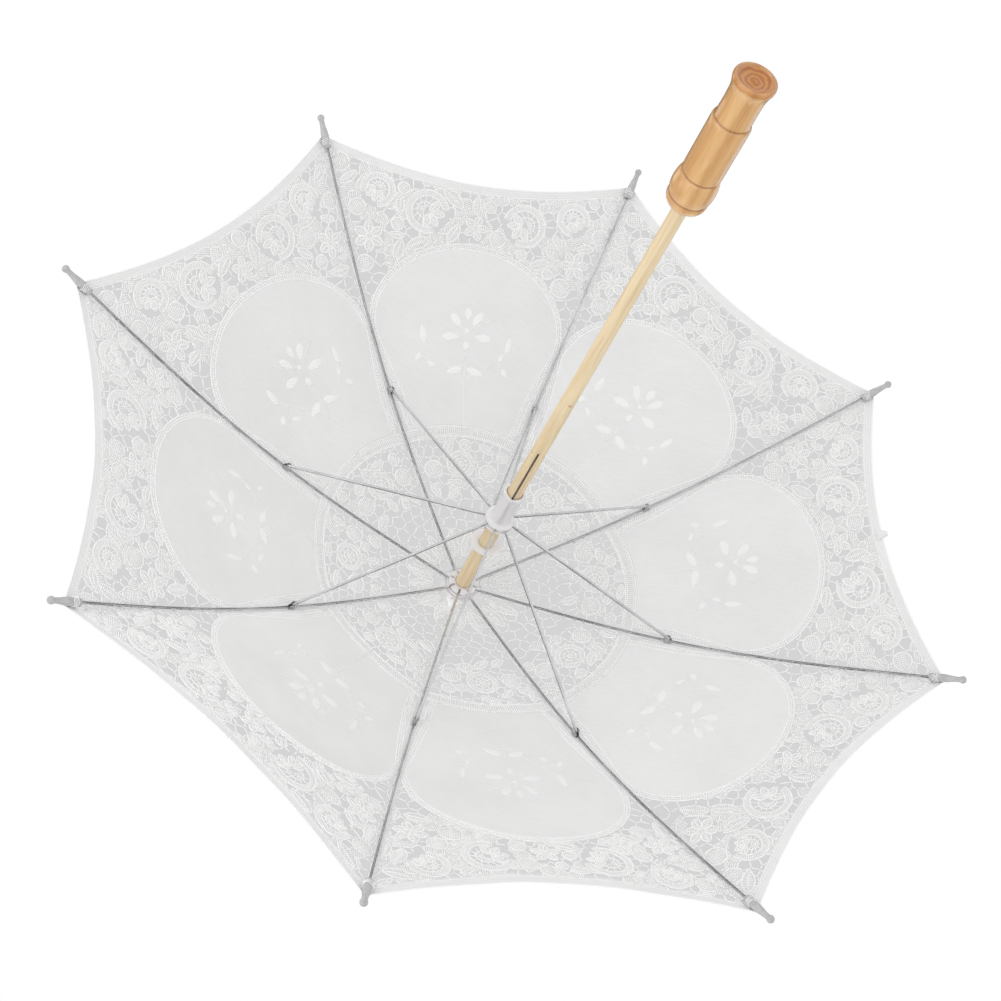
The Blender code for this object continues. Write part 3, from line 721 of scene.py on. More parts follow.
def make_studio():
    """White all round, with strip lights for what is polished and a painted shadow, a grey patch behind the
    open canopy.

    The patch imitates the grey that the photograph shows through the lace. Its outline is worked out from
    the camera's place, so it fits that one view only: seen from below it hangs in the sky as a large grey
    star. At a BACKDROP_SHADOW_GREY of 1.0 the patch should be gone and the lace's openings white.
    """
    world = bpy.data.worlds.new("studio")
    world.use_nodes = True
    tree = world.node_tree
    way = tree.nodes.new("ShaderNodeTexCoord").outputs["Generated"]

    def sums(operation, *values):
        return wired(tree, "ShaderNodeMath", dict(enumerate(values)), operation=operation).outputs[0]

    def towards(vector):
        inputs = {0: way, 1: tuple(vector)}
        return wired(tree, "ShaderNodeVectorMath", inputs, operation="DOT_PRODUCT").outputs["Value"]

    def eased(value, low, high, first, last):
        inputs = {"Value": value, "From Min": low, "From Max": high, "To Min": first, "To Max": last}
        return wired(tree, "ShaderNodeMapRange", inputs, interpolation_type="SMOOTHSTEP").outputs[0]

    def chosen(share, a, b):
        return sums("ADD", sums("MULTIPLY", sums("SUBTRACT", 1.0, share), a), sums("MULTIPLY", share, b))

    rim = []
    for k in range(RIB_COUNT):
        x = np.linspace(-1, 1, 9)[:-1] * 0.999
        s = hem_edge(x) - HEM_WIDTH / 2
        for point in placed(k, x * half_chord(s), s):
            ray = Vector(point) - EYE
            rim.append((-ray.dot(RIGHT) / ray.dot(BACK), -ray.dot(UP) / ray.dot(BACK)))
    rim = np.array(rim)
    middle = (rim.max(0) + rim.min(0)) / 2
    turn = np.arctan2(rim[:, 1] - middle[1], rim[:, 0] - middle[0]) / (2 * math.pi) + 0.5
    reach = np.hypot(*(rim - middle).T)
    order = np.argsort(turn)
    turn, reach = turn[order], reach[order]
    seam = np.interp(0.0, [turn[-1] - 1, turn[0]], [reach[-1], reach[0]])

    ahead = towards(-BACK)
    u = sums("SUBTRACT", sums("DIVIDE", towards(RIGHT), ahead), float(middle[0]))
    v = sums("SUBTRACT", sums("DIVIDE", towards(UP), ahead), float(middle[1]))
    angle = sums("ADD", sums("MULTIPLY", sums("ARCTAN2", v, u), 1 / (2 * math.pi)), 0.5)
    outline = wired(tree, "ShaderNodeFloatCurve", {"Value": angle})
    line = outline.mapping.curves[0]
    line.points[0].location, line.points[-1].location = (0.0, seam), (1.0, seam)
    for place, value in zip(turn, reach):
        line.points.new(place, value)
    for point in line.points:
        point.handle_type = "VECTOR"
    outline.mapping.update()
    distance = sums("SQRT", sums("ADD", sums("MULTIPLY", u, u), sums("MULTIPLY", v, v)))
    # painted shadow: the backdrop is grey inside the canopy's outline as the camera sees it
    behind = eased(sums("SUBTRACT", distance, outline.outputs[0]), -0.005, 0.002, BACKDROP_SHADOW_GREY, 1.0)
    seen = chosen(sums("GREATER_THAN", ahead, 0.05), 1.0, behind)

    soft = eased(towards(SOFT_LIGHT_FROM), -1.0, 1.0, 0.98, 1.48)
    soft = sums("SUBTRACT", soft, eased(towards((0, 0, 1)), 0.05, 0.7, 0.0, 0.2))
    strips = 0.05
    for vector, low, high, power in STRIPS:
        strips = sums("ADD", strips, eased(towards(vector), low, high, 0.0, power))
    rays = wired(tree, "ShaderNodeLightPath")
    light = chosen(rays.outputs["Is Glossy Ray"], soft, strips)
    light = chosen(rays.outputs["Is Camera Ray"], light, seen)
    tree.links.new(light, tree.nodes["Background"].inputs["Color"])
    bpy.context.scene.world = world


make_studio()


# ---------------------------------------------------------------- the lace, laid out flat
CORD_PITCH = 2.6
LEAF_PITCH = 1.7
SCALLOP_BAND = 5.6
WHEEL_BAND = 4.2


def walk(path):
    """Distance along a path to each of its points."""
    return np.concatenate([[0], np.cumsum(np.linalg.norm(np.diff(path, axis=0), axis=1))])


def along_path(path, distances):
    at = walk(path)
    return np.stack([np.interp(distances, at, path[:, 0]), np.interp(distances, at, path[:, 1])], 1)


def evenly(path, pitch):
    length = walk(path)[-1]
    return along_path(path, np.linspace(0, length, max(2, int(round(length / pitch)) + 1)))


def beside(path, distance):
    """The path moved to its left by a distance."""
    run = unit(np.gradient(path, axis=0))
    return path + distance * np.stack([-run[:, 1], run[:, 0]], 1)


def heading(angle):
    return np.array([math.cos(angle), math.sin(angle)])


def tape(path, cords, rungs):
    """A lace tape: lengthwise cords (offset, half width) and rungs (from, to, pitch, half width)."""
    smooth_path = evenly(path, CORD_PITCH)
    threads = [(beside(smooth_path, offset), wide, wide * 0.8) for offset, wide in cords]
    for inner, outer, pitch, wide in rungs:
        fine = evenly(path, pitch)
        for a, b in zip(beside(fine, inner), beside(fine, outer)):
            threads.append((np.array([a, b]), wide, wide * 0.75))
    return threads


def leaf(cx, cs, angle, length, width, bend):
    """A lens of rungs between two edge cords, with a cord down its middle."""
    t = np.linspace(0, 1, 11)
    spine = np.stack([(t - 0.5) * length, bend * 4 * t * (1 - t)], 1)
    swell = width / 2 * np.sin(math.pi * t) ** 0.75
    turn = np.array([[math.cos(angle), math.sin(angle)], [-math.sin(angle), math.cos(angle)]])
    sides = [(beside(spine, side) - spine) * swell[:, None] + spine for side in (1, -1)]
    left, right, middle = ((part @ turn) + (cx, cs) for part in (*sides, spine))
    threads = [(left, 0.72, 0.55), (right, 0.72, 0.55), (middle[1:-1], 0.42, 0.5)]
    at = np.linspace(0.06, 0.94, max(3, int(length / LEAF_PITCH)))
    for a, b in zip(along_share(left, at), along_share(right, at)):
        threads.append((np.array([a, b]), 0.5, 0.36))
    return threads


def disc(cx, cs, radius, rng):
    """A round of cloth stitch inside a cord."""
    angle = rng.uniform(0, math.pi)
    corners = [tuple(point) for point in circle(cx, cs, radius - 0.6, 16)[:-1]]
    threads = [(circle(cx, cs, radius - 0.6, 20), 0.75, 0.55)]
    return threads + hatched(corners, angle, 1.75, 0.46) + hatched(corners, angle + math.pi / 2, 2.2, 0.34)


def scallop(cx, cs, radius, facing, rng):
    """A broad arc of tape round a spider on its open side and a fan of leaves."""
    path = circle(cx, cs, radius - 0.7, 44, facing - math.radians(140), math.radians(280))
    cords = [(0, 0.75), (2.0, 0.36), (SCALLOP_BAND, 0.7)]
    threads = tape(path, cords, [(0, 2.0, 1.5, 0.42), (2.0, SCALLOP_BAND, 1.9, 0.46)])
    room = radius - 0.7 - SCALLOP_BAND
    out = heading(facing)
    hub = out * room * 0.34
    for i in range(9):
        end = heading(facing + math.radians(-112 + 28 * i)) * room
        threads.append((np.array([(cx, cs) + hub, (cx, cs) + end]), 0.5, 0.4))
    web = [math.radians(-118 + 14.75 * i) for i in range(17)]
    ring = [hub + (heading(facing + a) * room - hub) * 0.52 for a in web]
    threads.append((np.array(ring) + (cx, cs), 0.5, 0.4))
    threads.append((circle(cx + hub[0], cs + hub[1], 1.5, 10), 0.7, 0.5))
    for i in range(4):
        a = facing + math.pi + math.radians(-78 + 52 * i)
        middle = (cx, cs) + heading(a) * room * 0.52 - out * room * 0.16
        width = min(6.6, room * 0.46)
        threads += leaf(*middle, a, room * 0.95, width, rng.uniform(-0.6, 0.6))
    return threads


def along_share(path, shares):
    index = shares * (len(path) - 1)
    base = np.arange(len(path))
    return np.stack([np.interp(index, base, path[:, 0]), np.interp(index, base, path[:, 1])], 1)


def circle(cx, cs, radius, count, start=0.0, turn=2 * math.pi):
    a = start + np.linspace(0, turn, count + 1)
    return np.stack([cx + radius * np.cos(a), cs + radius * np.sin(a)], 1)


def wheel(cx, cs, radius, rng):
    """A ring of tape with a spider in it."""
    path = circle(cx, cs, radius - 0.6, int(radius * 2.2))
    threads = tape(path, [(0, 0.7), (WHEEL_BAND, 0.6)], [(0, WHEEL_BAND, 1.75, 0.48)])
    start = rng.uniform(0, math.pi)
    spokes = 8
    inner = radius - 0.6 - WHEEL_BAND
    for i in range(spokes):
        out = heading(start + 2 * math.pi * i / spokes)
        threads.append((np.array([(cx, cs) + out * 0.4, (cx, cs) + out * inner]), 0.48, 0.36))
    for share in (0.45, 0.95):
        threads.append((circle(cx, cs, inner * 0.24 * share, 12, start), 0.55, 0.4))
    threads.append((circle(cx, cs, inner * 0.62, spokes * 2, start), 0.46, 0.36))
    return threads


def flower(cx, cs, radius, petals, rng):
    """Leaves round a small eyelet."""
    start = rng.uniform(0, 2 * math.pi)
    eye = radius * 0.2
    threads = [(circle(cx, cs, eye, 12), 0.6, 0.5), (circle(cx, cs, eye * 0.45, 8), 0.5, 0.4)]
    length = radius - eye
    for i in range(petals):
        a = start + 2 * math.pi * i / petals
        reach = eye + length / 2
        width = min(length * 0.72, 2 * math.pi * reach / petals * 0.86)
        threads += leaf(cx + reach * math.cos(a), cs + reach * math.sin(a), a, length, width, 0.0)
    return threads


def distance_to(points, path):
    """Distance from each point to a path."""
    a, b = path[:-1], path[1:]
    run = b - a
    rel = points[:, None, :] - a[None]
    t = np.clip((rel * run).sum(-1) / np.maximum((run * run).sum(-1), 1e-9), 0, 1)
    return np.linalg.norm(rel - t[..., None] * run, axis=-1).min(1)


def inside(points, polygon):
    x, y = points[:, 0], points[:, 1]
    found = np.zeros(len(points), bool)
    for (ax, ay), (bx, by) in zip(polygon, np.roll(polygon, -1, axis=0)):
        crosses = (ay > y) != (by > y)
        with np.errstate(divide="ignore", invalid="ignore"):
            found ^= crosses & (x < (bx - ax) * (y - ay) / (by - ay) + ax)
    return found


def medallion_reach(x, s):
    """Flat distance from the canopy's centre."""
    return np.hypot(s * math.cos(STEP / 2), x)


def medallion_edge(x, reach):
    return np.sqrt(reach**2 - x**2) / math.cos(STEP / 2)


PETAL_INNER = MEDALLION + MEDALLION_TAPE
PETAL_START = float(medallion_edge(0.0, PETAL_INNER))
CAP_MIDDLE, CAP_FROM = 254.0, 235.0


def petal_half(s):
    """Half the cotton petal's width at s."""
    s = np.asarray(s, float)
    side = half_chord(s) - PETAL_TAPE - 10.5 * np.clip(1 - (s - PETAL_START) / 84, 0, 1) ** 0.9
    at_cap = float(half_chord(np.array([CAP_FROM]))[0]) - PETAL_TAPE - 0.2
    reach = PETAL_END - CAP_MIDDLE
    wide = at_cap / math.sqrt(1 - ((CAP_FROM - CAP_MIDDLE) / reach) ** 2)
    cap = wide * np.sqrt(np.clip(1 - ((s - CAP_MIDDLE) / reach) ** 2, 0, 1))
    return np.where(s < CAP_FROM, side, cap)


def petal_rows(count):
    """s of the petal's rows, closer together at its round end."""
    t = np.linspace(0, 1, count)
    return PETAL_START + (PETAL_END - PETAL_START) * (1 - (1 - t) ** 1.7)


def petal_bent(x, s):
    """s of a petal's point once the petal's inner end follows the medallion's edge."""
    drop = medallion_edge(x, PETAL_INNER) - PETAL_START
    return s + drop * np.clip(1 - (s - PETAL_START) / 26, 0, 1)


def petal_outline():
    """From the inner corner on the right round the outer end to the one on the left."""
    s = petal_rows(90)
    x = petal_half(s)
    right = np.stack([x, petal_bent(x, s)], 1)
    left = right[::-1] * (-1, 1)
    return np.concatenate([right, left[1:]])


OUTLINE = evenly(petal_outline(), 2.4)
PETAL_LOOP = np.concatenate([OUTLINE, [(0.0, PETAL_START)]])


def still_space(points):
    """How far points are from the hem, the ribs, the medallion's tape and the petal; negative on them."""
    x, s = points[:, 0], points[:, 1]
    room = half_chord(s) - np.abs(x)
    room = np.minimum(room, hem_at(x) - HEM_WIDTH + 0.6 - s)
    room = np.minimum(room, s - CLOTH_START)
    reach = medallion_reach(x, s)
    centre = MEDALLION + 0.4 - reach
    away = distance_to(points, OUTLINE) - PETAL_TAPE + 0.5
    away = np.where(inside(points, PETAL_LOOP), -1.0, away)
    wedge_side = np.where(s < WEDGE_END, -1.0, away)
    outer_room = np.where(reach > PETAL_INNER, np.minimum(away, wedge_side), -1.0)
    return np.minimum(room, np.where(reach < MEDALLION + 0.4, centre, outer_room))


GRID_X = np.arange(-165.0, 166.0)
GRID_S = np.arange(0.0, 421.0)
STILL = np.stack([still_space(np.stack([GRID_X, np.full_like(GRID_X, s)], 1)) for s in GRID_S])


def free_space(points, rings):
    """How far points are from all that the net may not cross; negative where it may not go."""
    u = np.clip(points[:, 0] - GRID_X[0], 0, len(GRID_X) - 1.001)
    v = np.clip(points[:, 1] - GRID_S[0], 0, len(GRID_S) - 1.001)
    i, j = u.astype(int), v.astype(int)
    u, v = u - i, v - j
    room = (STILL[j, i] * (1 - u) + STILL[j, i + 1] * u) * (1 - v)
    room += (STILL[j + 1, i] * (1 - u) + STILL[j + 1, i + 1] * u) * v
    for cx, cs, radius in rings:
        room = np.minimum(room, np.hypot(points[:, 0] - cx, points[:, 1] - cs) - radius + 0.5)
    return room


def clipped(threads, rings):
    """Straight threads cut to the stretches that lie in free space."""
    if not threads:
        return []
    ends = np.array([[t[0][0], t[0][-1]] for t in threads])
    lengths = np.linalg.norm(ends[:, 1] - ends[:, 0], axis=1)
    counts = np.maximum(2, np.ceil(lengths / 1.1).astype(int) + 1)
    shares = [np.linspace(0, 1, n)[:, None] for n in counts]
    flat = np.concatenate([a + (b - a) * t for (a, b), t in zip(ends, shares)])
    free = free_space(flat, rings) > 0
    made, start = [], 0
    for (_, wide, high), n in zip(threads, counts):
        run, ok = flat[start : start + n], free[start : start + n]
        start += n
        first = None
        for i in range(n + 1):
            if i < n and ok[i]:
                first = i if first is None else first
            elif first is not None:
                if i - first > 1:
                    made.append((run[[first, i - 1]], wide, high))
                first = None
    return made


def net_cell(i, sites, near, reach):
    """Corners of the cell round one site, each with the neighbour across the edge that starts there."""
    cx, cy = sites[i]
    cell = [(-reach, -reach, -1), (reach, -reach, -1), (reach, reach, -1), (-reach, reach, -1)]
    for j in near:
        dx, dy = sites[j][0] - cx, sites[j][1] - cy
        half = (dx * dx + dy * dy) / 2
        side = [x * dx + y * dy - half for x, y, _ in cell]
        if max(side) <= 0:
            continue
        kept = []
        for a in range(len(cell)):
            b = (a + 1) % len(cell)
            (ax, ay, tag), (bx, by, _), sa, sb = cell[a], cell[b], side[a], side[b]
            if sa <= 0:
                kept.append(cell[a])
            if (sa <= 0) != (sb <= 0):
                t = sa / (sa - sb)
                kept.append((ax + (bx - ax) * t, ay + (by - ay) * t, j if sa <= 0 else tag))
        cell = kept
        if len(cell) < 3:
            return []
    return [(x + cx, y + cy, tag) for x, y, tag in cell]


def hatched(corners, angle, pitch, wide):
    """Parallel threads across a cell."""
    run, off = (math.cos(angle), math.sin(angle)), (-math.sin(angle), math.cos(angle))
    across = [x * off[0] + y * off[1] for x, y in corners]
    along = [x * run[0] + y * run[1] for x, y in corners]
    threads = []
    level = min(across) + pitch * 0.6
    while level < max(across) - pitch * 0.3:
        hits = []
        for a in range(len(corners)):
            b = (a + 1) % len(corners)
            if (across[a] > level) != (across[b] > level):
                t = (level - across[a]) / (across[b] - across[a])
                hits.append(along[a] + (along[b] - along[a]) * t)
        if len(hits) == 2:
            ends = [(h * run[0] + level * off[0], h * run[1] + level * off[1]) for h in hits]
            threads.append((np.array(ends), wide, wide * 0.75))
        level += pitch
    return threads


def net(rng, low, high, spacing, dense, rings):
    """An uneven net with clusters of its cells filled with stitches."""
    rows = np.arange(low[1], high[1], spacing * 0.87)
    sites = []
    for r, s in enumerate(rows):
        for x in np.arange(low[0] + spacing / 2 * (r % 2), high[0], spacing):
            sites.append((x, s))
    sites = np.array(sites) + rng.uniform(-0.32, 0.32, (len(sites), 2)) * spacing
    room = free_space(sites, rings)
    sites = sites[room > -spacing * 0.75]
    threads = []
    drift = rng.uniform(0, 6.3, 2)
    swell = np.sin(sites[:, 0] / 9.5 + drift[0]) * np.sin(sites[:, 1] / 8.5 + drift[1])
    fill = 0.5 - 0.42 * swell + rng.uniform(-0.12, 0.12, len(sites))
    angle = rng.uniform(0, math.pi, len(sites))
    apart = np.linalg.norm(sites[:, None] - sites[None], axis=-1)
    points = [tuple(site) for site in sites]
    for i in range(len(sites)):
        near = [j for j in np.argsort(apart[i])[1:15] if apart[i, j] < 2.6 * spacing]
        cell = net_cell(i, points, near, spacing * 1.3)
        if not cell:
            continue
        filled = fill[i] < dense
        for a in range(len(cell)):
            (ax, ay, tag), (bx, by, _) = cell[a], cell[(a + 1) % len(cell)]
            if tag > i or tag < 0:
                heavy = filled or (tag >= 0 and fill[tag] < dense)
                wide = 0.72 if heavy else 0.58
                threads.append((np.array([(ax, ay), (bx, by)]), wide, wide * 0.75))
        if filled:
            threads += hatched([(x, y) for x, y, _ in cell], angle[i], 1.75, 0.48)
    return [t for t in clipped(threads, rings) if low[1] <= t[0][:, 1].mean() < high[1]]


def pack_motifs(rng, rings, choices, low, high, tries):
    """Places motifs where they still fit; rings grows by the room each one takes."""
    threads = []
    for kind, size, count in choices:
        placed_now = 0
        for _ in range(tries):
            if placed_now == count:
                break
            cx, cs = rng.uniform(low[0], high[0]), rng.uniform(low[1], high[1])
            radius = size * rng.uniform(0.85, 1.12)
            angle = rng.uniform(0, math.pi)
            spots = [(cx, cs, radius)]
            if kind == "leaf":
                run = heading(angle) * radius * 0.62
                spots = [(cx - run[0], cs - run[1], radius * 0.36), (cx, cs, radius * 0.44)]
                spots.append((cx + run[0], cs + run[1], radius * 0.36))
            room = free_space(np.array([(x, s) for x, s, _ in spots]), rings)
            if any(space < r + 0.4 for space, (_, _, r) in zip(room, spots)):
                continue
            if kind == "leaf":
                bend = rng.uniform(-0.15, 0.15) * radius
                threads += leaf(cx, cs, angle, radius * 2.0, radius * 0.84, bend)
            else:
                threads += disc(cx, cs, radius, rng)
            rings += spots
            placed_now += 1
    return threads


# The lace's cords (offset, half width) and rungs (from, to, pitch, half width)
HEM_CORDS = [(0.5, 0.6), (2.8, 0.36), (5.2, 0.36), (HEM_WIDTH - 0.4, 0.6)]
PETAL_CORDS = [(0.6, 0.85), (2.7, 0.4), (PETAL_TAPE - 0.6, 0.75)]
PETAL_RUNGS = [(0.6, PETAL_TAPE - 0.6, 2.3, 0.6)]
MEDALLION_CORDS = [(0.3, 0.7), (2.2, 0.42), (8.0, 0.42), (MEDALLION_TAPE - 0.3, 0.8)]
MEDALLION_RUNGS = [(2.2, 8.0, 1.9, 0.52), (0.3, 2.2, 1.9, 0.46), (8.0, MEDALLION_TAPE - 0.3, 1.9, 0.46)]
# Motifs are (x, s, radius) right of the gore's middle, mirrored on its left
SCALLOPS = [((47.0, 356.5, 21.0), -62), ((95.0, 370.0, 17.0), 35)]  # and how far each leans, in degrees


def gore_lace(k):
    """All the lace of one gore."""
    rng = np.random.default_rng(300 + k)
    threads = []

    # hem
    share = np.linspace(-1, 1, 141)
    edge = np.stack([share * half_chord(hem_edge(share)), hem_edge(share)], 1)
    edge = evenly(edge, CORD_PITCH)
    threads += [(beside(edge, -offset), wide, wide * 0.9) for offset, wide in HEM_CORDS]

    # edges of the petal and the medallion
    threads += tape(OUTLINE[::-1], PETAL_CORDS, PETAL_RUNGS)
    x = np.linspace(-1, 1, 61) * float(half_chord(np.array([MEDALLION]))[0])
    edge = np.stack([x, medallion_edge(x, MEDALLION)], 1)
    threads += tape(edge, MEDALLION_CORDS, MEDALLION_RUNGS)

    # ladders beside the petal, out to the ribs
    s = np.arange(150.0, WEDGE_END, 2.1)
    near, far = petal_half(s) + PETAL_TAPE - 0.6, half_chord(s) - 0.3
    for sign in (1, -1):
        for at, a, b in zip(s, near, far):
            if b - a > 0.9:
                threads.append((np.array([(sign * a, at - 1.0), (sign * b, at + 0.8)]), 0.5, 0.36))
        for offset in (3.2, 6.2, 9.2):
            row = far - near > offset + 0.8
            if row.sum() > 2:
                threads.append((np.stack([sign * (far - offset)[row], s[row]], 1), 0.6, 0.45))

    # cord beside each rib
    s = np.linspace(CLOTH_START, HEM_AT_RIB - 1, 150)
    for sign in (1, -1):
        threads.append((np.stack([sign * (half_chord(s) - 0.9), s], 1), 0.55, 0.4))

    rings = []

    def add(motif, x, s, radius, *more):
        """Draws a motif and keeps its room free."""
        threads.extend(motif(x, s, radius, *more, rng))
        rings.append((x, s, radius))

    # the border's rounds and arcs
    for sign in (1, -1):
        for (x, s, radius), lean in SCALLOPS:
            add(scallop, sign * x, s, radius, math.pi / 2 + sign * math.radians(lean))
        add(flower, sign * 99.5, 326.0, 14.5, 6)
    add(flower, 0.0, 347.5, 12.0, 5)
    choices = [("disc", 9.0, 7), ("leaf", 12, 14), ("disc", 6.5, 6), ("leaf", 8.5, 14)]
    threads += pack_motifs(rng, rings, choices, (-150, 300), (150, 405), 300)
    threads += net(rng, (-135, 225), (135, 300), 11.8, 0.06, rings)
    threads += net(rng, (-160, 300), (160, 410), 10.0, 0.52, rings)

    # the medallion's rounds and leaves
    add(wheel, 0.0, 114.0, 14.0)
    for sign in (1, -1):
        threads += leaf(sign * 6.4, 33, math.pi / 2 - sign * 0.19, 30, 9.4, 0.0)
        rings += [(sign * 6.0, s, 3.6) for s in (25, 33, 41)]
        add(disc, sign * 26.0, 107.0, 9.0)
    choices = [("disc", 6.0, 3), ("leaf", 8.5, 5)]
    threads += pack_motifs(rng, rings, choices, (-55, 84), (55, 138), 200)
    threads += net(rng, (-60, 4), (60, 88), 11.5, 0.05, rings)
    threads += net(rng, (-60, 88), (60, 142), 9.8, 0.22, rings)
    return threads


def halved(threads):
    """Threads left and right of the gore's middle; long ones are cut there."""
    left, right = [], []
    for points, *size in threads:
        x = points[:, 0]
        if x.max() <= 0:
            left.append((points, *size))
        elif x.min() >= 0:
            right.append((points, *size))
        elif walk(points)[-1] < 9:
            (left if x.mean() < 0 else right).append((points, *size))
        else:
            run, sign = [points[0]], x[0] >= 0
            for a, b in zip(points, points[1:]):
                if (b[0] >= 0) != sign:
                    cross = a + (b - a) * (-a[0] / (b[0] - a[0]))
                    (right if sign else left).append((np.array(run + [cross]), *size))
                    run, sign = [cross], b[0] >= 0
                run.append(b)
            if len(run) > 1:
                (right if sign else left).append((np.array(run), *size))
    return left, right


def spray():
    """The embroidered spray of one petal: raised pads and stem threads."""
    d = math.radians
    pads = [
        (-10.0, 207.5, d(202), 16.5, 7.6, 0.55, 0.25),
        (10.0, 207.5, d(-22), 16.5, 7.6, 0.55, 0.25),
        (0.0, 232.5, d(90), 9.0, 6.0, 0.6, -0.2),
        (-15.5, 240.5, d(188), 17.0, 8.2, 0.65, -0.25),
        (15.5, 242.0, d(-2), 17.0, 8.2, 0.65, -0.25),
        (-11.0, 257.0, d(124), 16.5, 7.8, 0.65, -0.25),
        (9.5, 260.0, d(58), 16.5, 7.8, 0.65, -0.25),
        (0.0, 264.0, d(91), 12.5, 6.6, 0.6, -0.25),
        (0.0, 248.0, 0.0, 5.2, 5.2, 0.75, 0.0),
        (-42.0, 240.0, d(98), 18.0, 6.2, 0.5, 0.1),
        (-45.0, 217.0, d(60), 9.5, 5.6, 0.5, 0.1),
        (-32.5, 211.0, d(150), 9.0, 4.6, 0.4, 0.1),
        (38.0, 210.0, d(120), 8.5, 5.4, 0.5, 0.1),
        (41.0, 238.0, d(80), 16.5, 5.6, 0.5, 0.1),
        (34.0, 224.0, d(64), 8.0, 4.2, 0.4, 0.1),
    ]
    stems = [
        [(0, 156), (0.5, 175), (-0.4, 195), (0, 213), (0, 228)],
        [(0, 197), (-7, 203), (-18, 213), (-30, 223), (-38, 232), (-41, 247)],
        [(0, 200), (8, 205), (20, 211), (31, 219), (38, 229), (41, 244)],
        [(-30, 222), (-37, 217), (-41, 214)],
        [(26, 215), (33, 212), (36, 210)],
        [(0, 248), (-8, 254), (-17, 259), (-25, 262)],
        [(0, 248), (8, 253), (17, 258), (25, 262)],
        [(-18, 213), (-24, 211), (-29, 210)],
    ]
    threads = []
    for stem in stems:
        path = np.array(stem, float)
        length = walk(path)[-1]
        fine = along_path(path, np.linspace(0, length, max(6, int(length / 2.4))))
        for _ in range(3):
            fine[1:-1] = (fine[:-2] + 2 * fine[1:-1] + fine[2:]) / 4
        threads.append((fine, 0.62, 0.55))
    return pads, threads


def petal_half_sheet(cloth, k, sign):
    rows, columns = 64, 26
    s = petal_rows(rows)[:, None] * np.ones((1, columns))
    x = np.linspace(0, 1, columns)[None] * np.maximum(petal_half(s), 0.4)
    cloth.take_sheet(k, sign * x, petal_bent(x, s), Cloth.COTTON)


def hem_tape(cloth, k, sign):
    """Half a gore's hem: a woven tape that follows the edge."""
    edge = np.linspace(0, 1, 71)[:, None]
    within = np.linspace(0.3, HEM_WIDTH - 0.2, 7)[None]
    s = hem_edge(edge) - within
    cloth.take_sheet(k, sign * edge * half_chord(s), s, Cloth.COTTON)


cloths = [Cloth() for _ in range(RIB_COUNT)]
pads, stems = spray()
pad_halves = [[pad for pad in pads if pad[0] < 0], [pad for pad in pads if pad[0] >= 0]]
for k in range(RIB_COUNT):
    sides = (cloths[k], -1), (cloths[(k + 1) % RIB_COUNT], 1)
    for (cloth, sign), lace, stitches, raised in zip(sides, halved(gore_lace(k)), halved(stems), pad_halves):
        cloth.take_threads(k, lace, Cloth.LACE)
        cloth.take_threads(k, stitches, Cloth.SATIN)
        cloth.take_pads(k, raised, Cloth.SATIN)
        petal_half_sheet(cloth, k, sign)
        hem_tape(cloth, k, sign)

# the tab that closes the parasol, sewn to the hem of one gore on both of its sides
TAB_GORE = 3
TAB_ROOT, TAB_NARROWING, TAB_LENGTH, TAB_LIFT = 6.0, 4.4, 10, 0.75
across, along = np.meshgrid(np.linspace(-1, 1, 9), np.linspace(0, 1, 11))
tab_x = (TAB_ROOT - TAB_NARROWING * along) * across
tab_s = HEM_AT_MIDDLE - TAB_LENGTH / 2 + TAB_LENGTH * along
for lift in (TAB_LIFT, -TAB_LIFT):
    cloths[TAB_GORE].take_sheet(TAB_GORE, tab_x, tab_s, Cloth.COTTON, lift)

cloth_slots = [looks["cotton"], looks["lace"], looks["satin"]]
for k, cloth in enumerate(cloths):
    piece = build(f"canopy_cloth_{k + 1}", np.concatenate(cloth.vertices), cloth.groups, cloth_slots)
    settle(piece, f"rib_arm_{k + 1}", "cotton_lace", f"canopy_{k + 1}")
    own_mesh(piece)


# ---------------------------------------------------------------- steel frame
RIB_SECTION = [
    (-0.9, -0.85), (-0.9, 0.38), (-0.78, 0.71), (-0.45, 0.85), (0.45, 0.85), (0.78, 0.71), (0.9, 0.38),
    (0.9, -0.85), (0.5, -0.85), (0.5, 0.2), (0.4, 0.43), (0.2, 0.5), (-0.2, 0.5), (-0.4, 0.43), (-0.5, 0.2),
    (-0.5, -0.85),
]  # fmt: skip
TONGUE_SECTION = [
    (-0.65, -1.15), (-0.65, 0.7), (-0.5, 1.0), (-0.3, 1.15), (0.3, 1.15), (0.5, 1.0), (0.65, 0.7),
    (0.65, -1.15), (0.1, -1.15), (0.1, -1.06), (0.08, -1.05), (0.04, -1.04), (-0.04, -1.04), (-0.08, -1.05),
    (-0.1, -1.06), (-0.1, -1.15),
]  # fmt: skip


def rib_piece(k):
    rings = []
    stations = [(-1.0, TONGUE_SECTION), (6.8, TONGUE_SECTION)]
    stations += [(s, RIB_SECTION) for s in np.linspace(9.5, RIB_END, 60)]
    for s, section in stations:
        at = max(s, 0.0)
        slope = float(np.interp(at, s_table, slope_table))
        radius, height = over_rib(np.array(at), np.array(0.0))
        radius += min(s, 0.0) * math.cos(slope) * MM
        height -= min(s, 0.0) * math.sin(slope) * MM
        lean, rise = math.sin(slope) * MM, math.cos(slope) * MM
        rings.append([(radius + up * lean, across * MM, height + up * rise) for across, up in section])
    piece = loft(f"rib_steel_{k + 1}", rings, looks["steel"])
    piece.data.transform(Matrix.Rotation(k * STEP, 4, "Z"))
    return settle(piece, f"rib_arm_{k + 1}", "steel", f"rib_{k + 1}")


